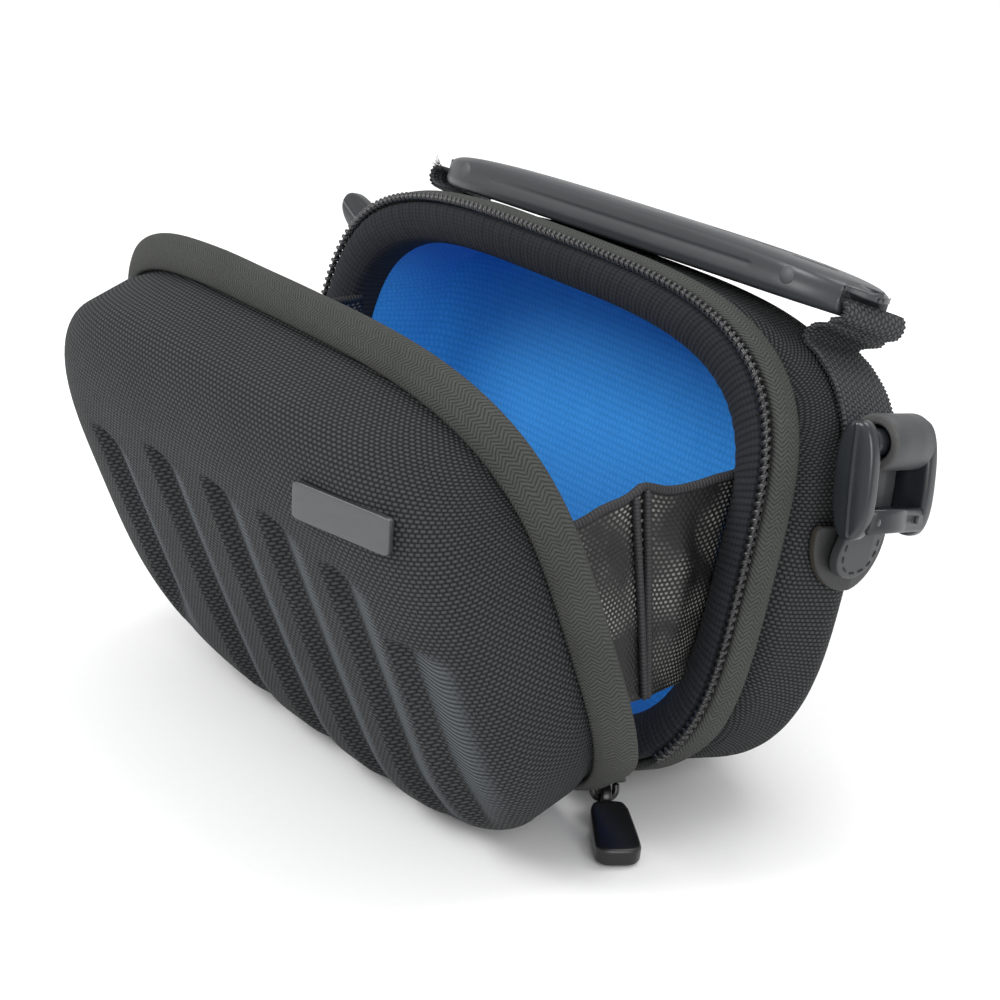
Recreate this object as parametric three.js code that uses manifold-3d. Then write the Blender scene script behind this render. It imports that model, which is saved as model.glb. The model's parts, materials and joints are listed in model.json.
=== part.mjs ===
// A hard-shell zipped camera case that stands half open: a deep body, a shallower lid hinged along the bottom
// edge, a carrying handle on slack webbing, and a strap ring in a leather loop on each side.
// Millimetres. Inside the case X runs to the right, Y from the lid to the back, and Z up the case.
// The opening plane, where the two halves meet, is Y = 0.
import * as THREE from "three";
import { mergeVertices } from "three/addons/utils/BufferGeometryUtils.js";
import Module from "manifold-3d";

const wasm = await Module();
wasm.setup();

// ---- Driving dimensions ---------------------------------------------------------------------------------

// The outline of the opening is a rounded rectangle drawn as a superellipse, measured at the middle of the
// zip coil.
const halfWidth = 71;
const halfHeight = 46.2;
const widestHeight = 1.6;
const topSquareness = 3.7;
const bottomSquareness = 3.5;
const turnsAround = 56;

const bodyDepth = 40;
const lidDepth = 30;
const wallThickness = 4;
const liningThickness = 1.2;
const clearance = 0.3;

const openAngle = THREE.MathUtils.degToRad(33.5);
const hingeDrop = 0.9;
const hingeHeight = -halfHeight - hingeDrop;
const hingeHalfLength = 30;

const coilRadius = 0.9;
const coilSetback = 1.1;
const coilSides = 6;
const coilStartTurn = THREE.MathUtils.degToRad(-42);
const coilEndTurn = THREE.MathUtils.degToRad(222);

// The zip tape stands out as a lip all round except near the hinge, where it lies flat.
const lipFullTurn = THREE.MathUtils.degToRad(-30);
const lipFlatTurn = THREE.MathUtils.degToRad(-42);

// The side straps lie flat on the front part of the side wall and fall away where the wall starts to round.
const webbingWidth = 16;
const webbingDepth = 28;
const webbingThickness = 1.4;
const webbingTopTurn = THREE.MathUtils.degToRad(48.5);
const webbingBottomTurn = THREE.MathUtils.degToRad(17);
const strapBendDepth = 27;
const strapFall = 0.27;

// The handle sits a little to the left on its slack webbing, which bulges out past each of its ends.
const handleHalfLength = 64;
const handleShift = -1.3;
const handleWidth = 20;
const handleDepth = 26;
const riserBulge = { right: 61.3, left: 67.5 };
const handleUnderside = 46.6;
const handleRoll = THREE.MathUtils.degToRad(6);
const handleTilt = THREE.MathUtils.degToRad(1);

// The strap rings and their leather loops stand square to the side of the case where it starts to round.
const ringPivot = new THREE.Vector3(74.4, 25.8, 28.8);
const ringTurn = { right: THREE.MathUtils.degToRad(11), left: 0 };
const ringPlateThickness = 3.2;
const ringBarLength = 15.4;
const loopLength = 12.4;
const ringSlide = -1.2;
const rightRingSwing = THREE.MathUtils.degToRad(10);
const leftRingSwing = THREE.MathUtils.degToRad(112);

const pullLength = 17.6;
const pullWidth = 8.2;
const pullThickness = 3.6;
const pullYaw = THREE.MathUtils.degToRad(18);
const pullSwing = THREE.MathUtils.degToRad(-147);

// ---- Materials ------------------------------------------------------------------------------------------

function material(colour, roughness, metalness = 0) {
  return new THREE.MeshStandardMaterial({ color: new THREE.Color(...colour), roughness, metalness });
}

const shellFabric = [0.035, 0.037, 0.041];
const tapeFabric = [0.06, 0.062, 0.058];
const knitFabric = [0.02, 0.021, 0.024];
const blueFleece = [0.02, 0.2, 0.62];
const meshFabric = [0.012, 0.012, 0.013];
const webbingFabric = [0.03, 0.031, 0.033];
const greyLeather = [0.08, 0.08, 0.082];
const greyPlastic = [0.05, 0.053, 0.06];
const blackPlastic = [0.008, 0.008, 0.009];
const satinMetal = [0.32, 0.33, 0.34];

// ---- Shape tools ----------------------------------------------------------------------------------------

// The point [x, z] of the case outline at a turn angle (0 is the right side, a quarter turn the top), moved
// outwards by offset.
function outlinePoint(turn, offset) {
  const cosine = Math.cos(turn);
  const sine = Math.sin(turn);
  const power = sine >= 0 ? topSquareness : bottomSquareness;
  const reach = (Math.abs(cosine) ** power + Math.abs(sine) ** power) ** (-1 / power);
  const height = sine >= 0 ? halfHeight + offset - widestHeight : halfHeight + offset + widestHeight;
  return [(halfWidth + offset) * reach * cosine, widestHeight + height * reach * sine];
}

function turnList(from, to, steps, includeLast) {
  const count = includeLast ? steps + 1 : steps;
  return Array.from({ length: count }, (_, i) => from + ((to - from) * i) / steps);
}

// The triangles that close a ring of points, as index triples into the ring.
function capTriangles(ring) {
  const normal = new THREE.Vector3();
  ring.forEach((point, i) => {
    const next = ring[(i + 1) % ring.length];
    normal.x += (point.y - next.y) * (point.z + next.z);
    normal.y += (point.z - next.z) * (point.x + next.x);
    normal.z += (point.x - next.x) * (point.y + next.y);
  });
  const flatten = new THREE.Quaternion().setFromUnitVectors(normal.normalize(), new THREE.Vector3(0, 0, 1));
  const flat = ring.map((point) => point.clone().applyQuaternion(flatten));
  return THREE.ShapeUtils.triangulateShape(flat.map((point) => new THREE.Vector2(point.x, point.y)), []);
}

// A closed body through a list of rings with equal numbers of points. With loop, the last ring joins the
// first; without it, the two end rings are closed by a cap. Rings that shrink to one point need no cap.
function loft(rings, loop = false) {
  const triangles = [];
  const add = (a, b, c) => {
    const flat = a.distanceTo(b) < 1e-6 || b.distanceTo(c) < 1e-6 || a.distanceTo(c) < 1e-6;
    if (!flat) triangles.push(a, b, c);
  };
  const spans = loop ? rings.length : rings.length - 1;
  for (let i = 0; i < spans; i++) {
    const near = rings[i];
    const far = rings[(i + 1) % rings.length];
    for (let j = 0; j < near.length; j++) {
      const k = (j + 1) % near.length;
      add(near[j], near[k], far[k]);
      add(near[j], far[k], far[j]);
    }
  }
  if (!loop) {
    const first = rings[0];
    const last = rings[rings.length - 1];
    if (first[0].distanceTo(first[1]) > 1e-6)
      capTriangles(first).forEach(([a, b, c]) => add(first[a], first[c], first[b]));
    if (last[0].distanceTo(last[1]) > 1e-6)
      capTriangles(last).forEach(([a, b, c]) => add(last[a], last[b], last[c]));
  }
  const geometry = new THREE.BufferGeometry().setFromPoints(triangles);
  return enclosedVolume(geometry) < 0 ? turnedInsideOut(geometry) : geometry;
}

function enclosedVolume(geometry) {
  const at = geometry.getAttribute("position");
  const [a, b, c] = [new THREE.Vector3(), new THREE.Vector3(), new THREE.Vector3()];
  let sum = 0;
  for (let i = 0; i < at.count; i += 3) {
    a.fromBufferAttribute(at, i);
    b.fromBufferAttribute(at, i + 1);
    c.fromBufferAttribute(at, i + 2);
    sum += a.dot(b.cross(c)) / 6;
  }
  return sum;
}

function turnedInsideOut(geometry) {
  const at = geometry.getAttribute("position");
  const points = [];
  for (let i = 0; i < at.count; i += 3)
    for (const j of [i, i + 2, i + 1]) points.push(new THREE.Vector3().fromBufferAttribute(at, j));
  return new THREE.BufferGeometry().setFromPoints(points);
}

// A body swept round the outline. section(turn) lists [offset, depth] points; side is 1 for the body, -1 for
// the lid.
function sweepAround(section, side, from = 0, to = 2 * Math.PI) {
  const whole = to - from > 2 * Math.PI - 1e-6;
  const steps = Math.round((turnsAround * (to - from)) / (2 * Math.PI));
  const rings = turnList(from, to, steps, !whole).map((turn) =>
    section(turn).map(([offset, depth]) => {
      const [x, z] = outlinePoint(turn, offset);
      return new THREE.Vector3(x, side * depth, z);
    }),
  );
  return loft(rings, whole);
}

// A cup with the case outline. The profile runs from the middle of one face to the middle of the other as
// [offset, depth, share], where share pulls the ring in towards the middle: 1 leaves it, 0 makes it a point.
function cup(profile, side) {
  const rings = profile.map(([offset, depth, share]) =>
    turnList(0, 2 * Math.PI, turnsAround, false).map((turn) => {
      const [x, z] = outlinePoint(turn, offset);
      return new THREE.Vector3(x * share, side * depth, widestHeight + (z - widestHeight) * share);
    }),
  );
  return loft(rings);
}

// The side wall and rounded edge of a shell: from depth start straight to the round, then a quarter ellipse.
function roundedWall({ offset, start, depth, roundIn, roundDeep, steps }) {
  const points = [[offset, start, 1]];
  for (let i = 0; i <= steps; i++) {
    const angle = (Math.PI / 2) * (i / steps);
    points.push([offset - roundIn * (1 - Math.cos(angle)), depth - roundDeep * (1 - Math.sin(angle)), 1]);
  }
  return points;
}

// Middle of a face: one ring part of the way in, then the centre.
function faceMiddle(edge, crown) {
  const [offset, depth] = edge;
  return [
    [offset, depth + crown * 0.75, 0.5],
    [offset, depth + crown, 0],
  ];
}

// A shape drawn in the XZ plane, made width thick along Y and centred at middle.
function plateAcross(shape, width, middle, curveSegments = 8) {
  const geometry = new THREE.ExtrudeGeometry(shape, { depth: width, bevelEnabled: false, curveSegments });
  return geometry.rotateX(Math.PI / 2).translate(0, middle + width / 2, 0);
}

// The outline of a strip of even thickness along a smooth line through points.
function stripPoints(points, thickness, steps) {
  const line = new THREE.SplineCurve(points.map(([x, z]) => new THREE.Vector2(x, z)));
  const near = [];
  const far = [];
  for (let i = 0; i <= steps; i++) {
    const at = line.getPointAt(i / steps);
    const along = line.getTangentAt(i / steps);
    const across = new THREE.Vector2(-along.y, along.x).multiplyScalar(thickness / 2);
    near.push(at.clone().add(across));
    far.unshift(at.clone().sub(across));
  }
  return [...near, ...far];
}

function solidOf(geometry) {
  const bare = geometry.index ? geometry.toNonIndexed() : geometry.clone();
  bare.deleteAttribute("normal");
  bare.deleteAttribute("uv");
  const merged = mergeVertices(bare, 1e-4);
  const vertProperties = new Float32Array(merged.getAttribute("position").array);
  const triVerts = new Uint32Array(merged.index.array);
  return new wasm.Manifold(new wasm.Mesh({ numProp: 3, vertProperties, triVerts }));
}

function geometryOf(solid) {
  const mesh = solid.getMesh();
  const geometry = new THREE.BufferGeometry();
  geometry.setAttribute("position", new THREE.BufferAttribute(new Float32Array(mesh.vertProperties), 3));
  geometry.setIndex(new THREE.BufferAttribute(new Uint32Array(mesh.triVerts), 1));
  return geometry;
}

function joined(...pieces) {
  return geometryOf(pieces.map(solidOf).reduce((all, next) => all.add(next)));
}

function cut(piece, ...tools) {
  return geometryOf(tools.map(solidOf).reduce((rest, tool) => rest.subtract(tool), solidOf(piece)));
}

function named(name, geometry, colour, roughness, metalness) {
  const mesh = new THREE.Mesh(geometry, material(colour, roughness, metalness));
  mesh.name = name;
  return mesh;
}

// ---- The two halves of the case -------------------------------------------------------------------------

// How far the zip tape lip stands out at a turn angle: 1 on the sides and top, 0 near the hinge.
function lipShare(turn) {
  const fromBottom = Math.asin(Math.sin(turn));
  return THREE.MathUtils.smoothstep(fromBottom, lipFlatTurn, lipFullTurn);
}

function blendSections(flat, full, share) {
  return flat.map(([offset, depth], i) => [
    offset + (full[i][0] - offset) * share,
    depth + (full[i][1] - depth) * share,
  ]);
}

// Each half: its shell starts behind the zip tape's seam with a crease, and its lining and rim binding follow
// inside.
const bodyHalf = {
  side: 1,
  depth: bodyDepth,
  wallOffset: -0.9,
  roundIn: 32,
  roundDeep: 15,
  crown: 0,
  crease: [
    [-1.9, 3.4],
    [-0.7, 5.4],
    [-1.6, 7.6],
    [-3.7, 9.8],
    [-3.4, 11],
    [-1.7, 13],
  ],
  wallStart: 15,
  lip: [
    [0.5, 2.4],
    [1.3, 3.6],
    [1.5, 5.6],
    [0.9, 8],
    [-2.2, 10.6],
    [-3, 9.8],
    [-0.5, 7.4],
    [0, 5.6],
    [-0.1, 4],
    [-0.9, 2.9],
  ],
  flatLip: [
    [0.3, 2.4],
    [0.6, 3.6],
    [0.6, 5.6],
    [0.3, 8],
    [-2.2, 10.6],
    [-3, 9.8],
    [-0.5, 7.4],
    [0, 5.6],
    [-0.1, 4],
    [-0.9, 2.9],
  ],
};

const lidHalf = {
  side: -1,
  depth: lidDepth,
  wallOffset: -1.8,
  roundIn: 18.5,
  roundDeep: 11,
  crown: 0.4,
  crease: [
    [-2.1, 3.2],
    [-0.9, 4.4],
    [-2.5, 6.4],
    [-2.2, 8],
  ],
  wallStart: 10,
  lip: [
    [1.5, 0.6],
    [2.4, 0.9],
    [3, 1.9],
    [2.6, 3.4],
    [0.6, 5.8],
    [-1.6, 7],
    [-2.1, 6],
    [-0.6, 4.6],
    [1, 3.2],
    [1.2, 2.3],
  ],
  flatLip: [
    [0.3, 2.4],
    [0.5, 2.7],
    [0.6, 3.1],
    [0.6, 3.8],
    [-0.4, 5.8],
    [-1.6, 7],
    [-2.1, 6],
    [-0.6, 4.6],
    [-0.4, 3.6],
    [-0.3, 3],
  ],
};

function shellOf(half) {
  const wall = roundedWall({
    offset: half.wallOffset,
    start: half.wallStart,
    depth: half.depth,
    roundIn: half.roundIn,
    roundDeep: half.roundDeep,
    steps: 5,
  });
  const outer = [...half.crease.map(([offset, depth]) => [offset, depth, 1]), ...wall];
  const innerOffset = half.wallOffset - wallThickness - 1;
  const inner = roundedWall({
    offset: innerOffset,
    start: half.crease[0][1],
    depth: half.depth - wallThickness,
    roundIn: half.roundIn - wallThickness,
    roundDeep: half.roundDeep - wallThickness,
    steps: 4,
  });
  return cup(
    [
      ...faceMiddle(inner[inner.length - 1], half.crown).reverse(),
      ...inner.reverse(),
      ...outer,
      ...faceMiddle(outer[outer.length - 1], half.crown),
    ],
    half.side,
  );
}

function liningOf(half) {
  const layer = (inset) =>
    roundedWall({
      offset: half.wallOffset - wallThickness - 1 - inset,
      start: half.crease[0][1] + 0.2,
      depth: half.depth - wallThickness - inset,
      roundIn: half.roundIn - wallThickness - inset,
      roundDeep: half.roundDeep - wallThickness - inset,
      steps: 4,
    });
  const outer = layer(clearance);
  const inner = layer(clearance + liningThickness);
  return cup(
    [
      ...faceMiddle(inner[inner.length - 1], half.crown).reverse(),
      ...inner.reverse(),
      ...outer,
      ...faceMiddle(outer[outer.length - 1], half.crown),
    ],
    half.side,
  );
}

// The knit binding rolls over the cut edge of the shell and the lining and hides them.
function rimBindingOf(half) {
  const front = half.crease[0][1] - clearance;
  const liningInside = half.wallOffset - wallThickness - 1 - clearance - liningThickness;
  const innermost = liningInside - clearance;
  const section = [
    [-1.3, front],
    [-1.3, 0.9],
    [-3, 0.3],
    [-5, 0.5],
    [innermost + 0.7, 1.4],
    [innermost - 0.5, 3.2],
    [innermost - 0.7, 6],
    [innermost - 0.4, 8.6],
    [innermost, 9],
    [innermost, front],
  ];
  return sweepAround(() => section, half.side);
}

function zipTapeOf(half) {
  return sweepAround((turn) => blendSections(half.flatLip, half.lip, lipShare(turn)), half.side);
}

function zipCoilOf(half) {
  const section = turnList(0, 2 * Math.PI, coilSides, false).map((angle) => [
    coilRadius * Math.cos(angle),
    coilSetback + coilRadius * Math.sin(angle),
  ]);
  return sweepAround(() => section, half.side, coilStartTurn, coilEndTurn);
}

function halfPieces(half, prefix) {
  return [
    named(`${prefix}_shell`, shellOf(half), shellFabric, 0.9),
    named(`${prefix}_lining`, liningOf(half), blueFleece, 0.95),
    named(`${prefix}_rim_binding`, rimBindingOf(half), knitFabric, 0.9),
    named(`${prefix}_zip_tape`, zipTapeOf(half), tapeFabric, 0.9),
    named(`${prefix}_zip_coil`, zipCoilOf(half), blackPlastic, 0.35),
  ];
}

// ---- Hinge strip and gussets ----------------------------------------------------------------------------

// The fabric strip that joins the two halves along the bottom, drawn in the YZ plane with the lid open.
function hingeStrip() {
  const flap = 6;
  const thickness = 0.8;
  const lidWay = new THREE.Vector2(-Math.cos(openAngle), -Math.sin(openAngle));
  const lidDown = new THREE.Vector2(lidWay.y, -lidWay.x);
  const hinge = new THREE.Vector2(0, hingeHeight);
  const points = [
    new THREE.Vector2(flap, hingeHeight),
    hinge.clone(),
    hinge.clone().addScaledVector(lidWay, flap),
    hinge.clone().addScaledVector(lidWay, flap).addScaledVector(lidDown, -thickness),
    hinge.clone().add(new THREE.Vector2(-thickness * Math.tan(openAngle / 2), -thickness)),
    new THREE.Vector2(flap, hingeHeight - thickness),
  ];
  const length = 2 * hingeHalfLength;
  const geometry = new THREE.ExtrudeGeometry(new THREE.Shape(points), { depth: length, bevelEnabled: false });
  // The shape's x becomes Y, its y becomes Z, and the extrusion runs along X.
  const toCase = new THREE.Matrix4().makeBasis(
    new THREE.Vector3(0, 1, 0),
    new THREE.Vector3(0, 0, 1),
    new THREE.Vector3(1, 0, 0),
  );
  return geometry.applyMatrix4(toCase).translate(-hingeHalfLength, 0, 0);
}

const gussetThickness = 0.6;
const gussetFold = {
  top: new THREE.Vector3(62, -18, 14.6),
  bottom: new THREE.Vector3(63.5, -7.4, -22.5),
};
const gussetEdge = {
  top: new THREE.Vector3(58.4, 5, 19),
  bottom: new THREE.Vector3(58, 5, -19),
};

// One panel of a side gusset as a thin plate with four corners, thickened towards the inside of the case.
function gussetPanel(corners, side) {
  const inwards = new THREE.Vector3(-gussetThickness, 0, 0);
  const placed = corners.map((corner) => corner.clone());
  const rings = [placed, placed.map((corner) => corner.clone().add(inwards))];
  rings.forEach((ring) => ring.forEach((corner) => (corner.x *= side)));
  return loft(rings);
}

function bodyGusset(side) {
  const corners = [gussetEdge.top, gussetFold.top, gussetFold.bottom, gussetEdge.bottom];
  const gap = new THREE.Vector3(0, clearance, 0);
  corners[1] = corners[1].clone().add(gap);
  corners[2] = corners[2].clone().add(gap);
  return gussetPanel(corners, side);
}

// The lid's panel mirrors the body's about the plane half way between the two halves. The lid turns with it.
function lidGusset(side) {
  const mirrored = (point) => {
    const away = point.clone().sub(new THREE.Vector3(0, 0, hingeHeight));
    const folded = new THREE.Vector3(away.x, -away.y, away.z);
    const turned = folded.applyAxisAngle(new THREE.Vector3(1, 0, 0), openAngle);
    return turned.add(new THREE.Vector3(0, 0, hingeHeight));
  };
  const toLid = (point) => {
    const away = point.clone().sub(new THREE.Vector3(0, 0, hingeHeight));
    return away.applyAxisAngle(new THREE.Vector3(1, 0, 0), -openAngle);
  };
  const gap = new THREE.Vector3(0, -clearance, 0);
  const corners = [
    mirrored(gussetEdge.top),
    mirrored(gussetFold.top).add(gap),
    mirrored(gussetFold.bottom).add(gap),
    mirrored(gussetEdge.bottom),
  ];
  return gussetPanel(corners.map(toLid), side);
}

// ---- Webbing, leather and strap rings -------------------------------------------------------------------

function mirroredAcross(geometry) {
  return turnedInsideOut((geometry.index ? geometry.toNonIndexed() : geometry).clone().scale(-1, 1, 1));
}

function onSide(geometry, side) {
  return side > 0 ? geometry : mirroredAcross(geometry);
}

// How far a strap on the side has fallen back towards the case at a depth.
function strapDrop(depth) {
  return -strapFall * Math.max(0, depth - strapBendDepth);
}

// The section of a flat strap on the side wall, between two depths, as [offset, depth] points.
function strapSection(inner, thickness, near, far) {
  const depths = [near, Math.min(Math.max(strapBendDepth, near + 0.1), far - 0.1), far];
  const under = depths.map((depth) => [inner + strapDrop(depth), depth]);
  const over = depths.map((depth) => [inner + thickness + strapDrop(depth), depth]);
  return [...under, ...over.reverse()];
}

function sideWebbing(side) {
  const near = webbingDepth - webbingWidth / 2;
  const section = strapSection(-0.55, webbingThickness, near, near + webbingWidth);
  return onSide(sweepAround(() => section, 1, webbingBottomTurn, webbingTopTurn), side);
}

// The slack fold of webbing between the handle's end and the shoulder of the case. Its rear edge hangs lower.
function webbingRiser(side) {
  const out = side > 0 ? riserBulge.right : riserBulge.left;
  const lift = side * handleHalfLength * Math.sin(handleTilt);
  const fold = [
    [out - 1.3, 49 + lift],
    [out - 0.3, 48.2 + lift],
    [out, 47.1 + lift],
    [out - 0.6, 45.9 + lift],
    [out - 2.6, 45.2 + lift],
    [58, 44.7 + 0.5 * lift],
    [54.6, 44 + 0.2 * lift],
  ];
  const dropAtHandle = webbingWidth * Math.tan(handleRoll) + 0.5;
  const sag = new THREE.Vector2(2, 1.4);
  const near = stripPoints(fold, webbingThickness, 16);
  const last = near.length / 2 - 1;
  const far = near.map((point, i) => {
    const share = (i <= last ? i : near.length - 1 - i) / last;
    return new THREE.Vector2(point.x - sag.x * share, point.y - dropAtHandle - sag.y * share);
  });
  const front = webbingDepth - webbingWidth / 2;
  const rings = [
    near.map((point) => new THREE.Vector3(point.x, front, point.y)),
    far.map((point) => new THREE.Vector3(point.x, front + webbingWidth, point.y)),
  ];
  return onSide(loft(rings), side);
}

// A leather tab with a rounded lower end, sewn flat to the side of the case.
function anchorPatch(side) {
  const tab = { width: 20, lowest: 0.4, highest: 12, inner: -0.5, thickness: 1.5 };
  return onSide(roundedTab(tab, () => 25.6), side);
}

// A flat tab on the side wall whose lower end is a half circle. inner is the offset of its underside, and
// middleAt(height) is the depth of its middle line.
function roundedTab({ width, lowest, highest, inner, thickness }, middleAt) {
  const round = width / 2;
  const rows = 9;
  const start = lowest + 0.25;
  const rings = Array.from({ length: rows + 1 }, (_, i) => {
    const height = start + (highest - start) * (i / rows) ** 1.6;
    const below = Math.max(0, lowest + round - height);
    const reach = Math.sqrt(round * round - below * below);
    const turn = turnAtHeight(height);
    const middle = middleAt(height);
    return strapSection(inner, thickness, middle - reach, middle + reach).map(([offset, depth]) => {
      const [x, z] = outlinePoint(turn, offset);
      return new THREE.Vector3(x, depth, z);
    });
  });
  return loft(rings);
}

// The turn angle at which the outline stands at a height on the right side.
function turnAtHeight(height) {
  let low = -Math.PI / 2;
  let high = Math.PI / 2;
  for (let i = 0; i < 40; i++) {
    const middle = (low + high) / 2;
    if (outlinePoint(middle, 0)[1] < height) low = middle;
    else high = middle;
  }
  return low;
}

// The leather strip folded round the ring's upper bar, and its tail with a rounded end sewn on the patch.
function leatherLoop(side, turnOut) {
  const outerRadius = 5;
  const holeRadius = 3.2;
  const tube = new THREE.Shape();
  tube.absarc(0, 0, outerRadius, 0, 2 * Math.PI, false);
  const hole = new THREE.Path();
  hole.absarc(0, 0, holeRadius, 0, 2 * Math.PI, true);
  tube.holes.push(hole);
  const bend = plateAcross(tube, loopLength, 0, 12);
  bend.rotateZ(turnOut).translate(ringPivot.x, ringPivot.y, ringPivot.z);
  const straightAbove = 12;
  const middleAt = (height) => ringPivot.y - 0.3 * Math.max(0, straightAbove - height);
  const tail = roundedTab({ width: 10, lowest: 3.4, highest: 23.4, inner: 1.35, thickness: 2.4 }, middleAt);
  return onSide(joined(bend, tail), side);
}

// Two long oval plates joined by an upper bar, which turns in the leather loop, and a lower bar for a strap.
function strapRing() {
  const plateHalfWidth = 3.9;
  const above = 4;
  const below = 16.8;
  const upperBarRadius = 2.5;
  const lowerBar = { height: 4.4, thickness: 3.6, out: 1.6, middle: -13.4 };
  const middle = (above - below) / 2;
  const halfLength = (above + below) / 2;
  const plate = (depth) => {
    const shape = new THREE.Shape();
    const steps = 20;
    const squareness = 2.6;
    for (let i = 0; i < steps; i++) {
      const angle = (2 * Math.PI * i) / steps;
      const spread = Math.abs(Math.cos(angle)) ** squareness + Math.abs(Math.sin(angle)) ** squareness;
      const reach = spread ** (-1 / squareness);
      const x = plateHalfWidth * reach * Math.cos(angle);
      const z = middle + halfLength * reach * Math.sin(angle);
      if (i === 0) shape.moveTo(x, z);
      else shape.lineTo(x, z);
    }
    return plateAcross(shape, ringPlateThickness, depth);
  };
  const plateDistance = ringBarLength / 2 + ringPlateThickness / 2;
  const overlap = 1;
  const upper = new THREE.CylinderGeometry(upperBarRadius, upperBarRadius, ringBarLength + overlap, 16);
  const lower = new THREE.BoxGeometry(lowerBar.thickness, ringBarLength + overlap, lowerBar.height);
  lower.translate(lowerBar.out, 0, lowerBar.middle);
  const ring = joined(plate(plateDistance), plate(-plateDistance), upper, lower);
  return ring.translate(0, ringSlide, 0);
}

// ---- Handle ---------------------------------------------------------------------------------------------

const handlePinRadius = 1.8;
const handlePinOut = 49.5;
const handlePinHeight = 4;

// A moulded bar: flat below, slightly crowned above, with rounded ends cut to a lip over the webbing. Its
// origin is the middle of its underside.
function handleGrip() {
  const stations = 22;
  const crown = 8.2;
  const endThickness = 6;
  const endRounding = 18;
  const mouthStart = 60.4;
  const lipThickness = 2;
  const halfWide = handleWidth / 2;
  const rings = [];
  for (let i = 0; i <= stations; i++) {
    const angle = (Math.PI * i) / stations;
    const x = -handleHalfLength * Math.cos(angle);
    const beyond = Math.max(0, Math.abs(x) - (handleHalfLength - endRounding)) / endRounding;
    const half = Math.max(halfWide * Math.sqrt(Math.max(0, 1 - beyond ** 2)), 0.8);
    const share = (x / handleHalfLength) ** 4;
    const top = crown + (endThickness - crown) * share;
    const edge = Math.min(1.6, half * 0.5);
    const bottom = 0;
    rings.push(
      [
        [-half + edge, bottom],
        [half - edge, bottom],
        [half, bottom + edge],
        [half, top - 1.6],
        [half - edge, top - 0.4],
        [half * 0.3, top],
        [-half * 0.3, top],
        [-half + edge, top - 0.4],
        [-half, top - 1.6],
        [-half, bottom + edge],
      ].map(([y, z]) => new THREE.Vector3(x, y, z)),
    );
  }
  const bar = loft(rings);
  const tools = [];
  for (const side of [-1, 1]) {
    const length = 10;
    const mouth = new THREE.BoxGeometry(length, handleWidth + 2, length);
    const lipUnderside = endThickness - lipThickness;
    mouth.translate(side * (mouthStart + length / 2), 0, lipUnderside - length / 2);
    const bore = new THREE.CylinderGeometry(
      handlePinRadius + clearance,
      handlePinRadius + clearance,
      handleWidth + 2,
      14,
    );
    bore.translate(side * handlePinOut, 0, handlePinHeight);
    tools.push(mouth, bore);
  }
  return cut(bar, ...tools);
}

function handlePin(side) {
  const pin = new THREE.CylinderGeometry(handlePinRadius, handlePinRadius, handleWidth - 0.4, 14);
  return pin.translate(side * handlePinOut, 0, handlePinHeight);
}

// ---- Zip slider and pull --------------------------------------------------------------------------------

const sliderTurn = THREE.MathUtils.degToRad(-52);
const sliderYaw = THREE.MathUtils.degToRad(12);
const sliderPlate = { length: 8, width: 7.6, thickness: 1.2, offset: 1.3 };
const bailHeight = 2.5;
const bailRadius = 0.7;

// Slider frame: x along the track towards the hinge, y along Y, z out of the case, then yawed at the track's
// end.
function sliderFrame() {
  const [x, z] = outlinePoint(sliderTurn, 0);
  const [aheadX, aheadZ] = outlinePoint(sliderTurn - 0.01, 0);
  const along = new THREE.Vector3(aheadX - x, 0, aheadZ - z).normalize();
  const outwards = new THREE.Vector3().crossVectors(along, new THREE.Vector3(0, 1, 0));
  const frame = new THREE.Matrix4().makeBasis(along, new THREE.Vector3(0, 1, 0), outwards);
  frame.setPosition(x, 0, z);
  return frame.multiply(new THREE.Matrix4().makeRotationZ(sliderYaw));
}

function zipSlider() {
  const { length, width, thickness, offset } = sliderPlate;
  const shape = new THREE.Shape();
  shape.moveTo(-length / 2, -width * 0.36);
  shape.lineTo(length * 0.2, -width / 2);
  shape.quadraticCurveTo(length / 2, -width / 2, length / 2, 0);
  shape.quadraticCurveTo(length / 2, width / 2, length * 0.2, width / 2);
  shape.lineTo(-length / 2, width * 0.36);
  shape.closePath();
  const plate = new THREE.ExtrudeGeometry(shape, { depth: thickness, bevelEnabled: false, curveSegments: 5 });
  return plate.translate(0, 0, offset);
}

// A small arch over the slider that the pull hangs from.
function sliderBail() {
  const footing = sliderPlate.offset + sliderPlate.thickness + clearance;
  const legs = [-1, 1].map((way) => {
    const leg = new THREE.BoxGeometry(2 * bailRadius, 1, bailHeight + bailRadius);
    return leg.translate(0, way * 2.3, footing + (bailHeight + bailRadius) / 2);
  });
  const bar = new THREE.CylinderGeometry(bailRadius, bailRadius, 4.8, 12);
  bar.translate(0, 0, footing + bailHeight);
  return joined(...legs, bar);
}

function pullPivotHeight() {
  return sliderPlate.offset + sliderPlate.thickness + clearance + bailHeight;
}

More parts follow.
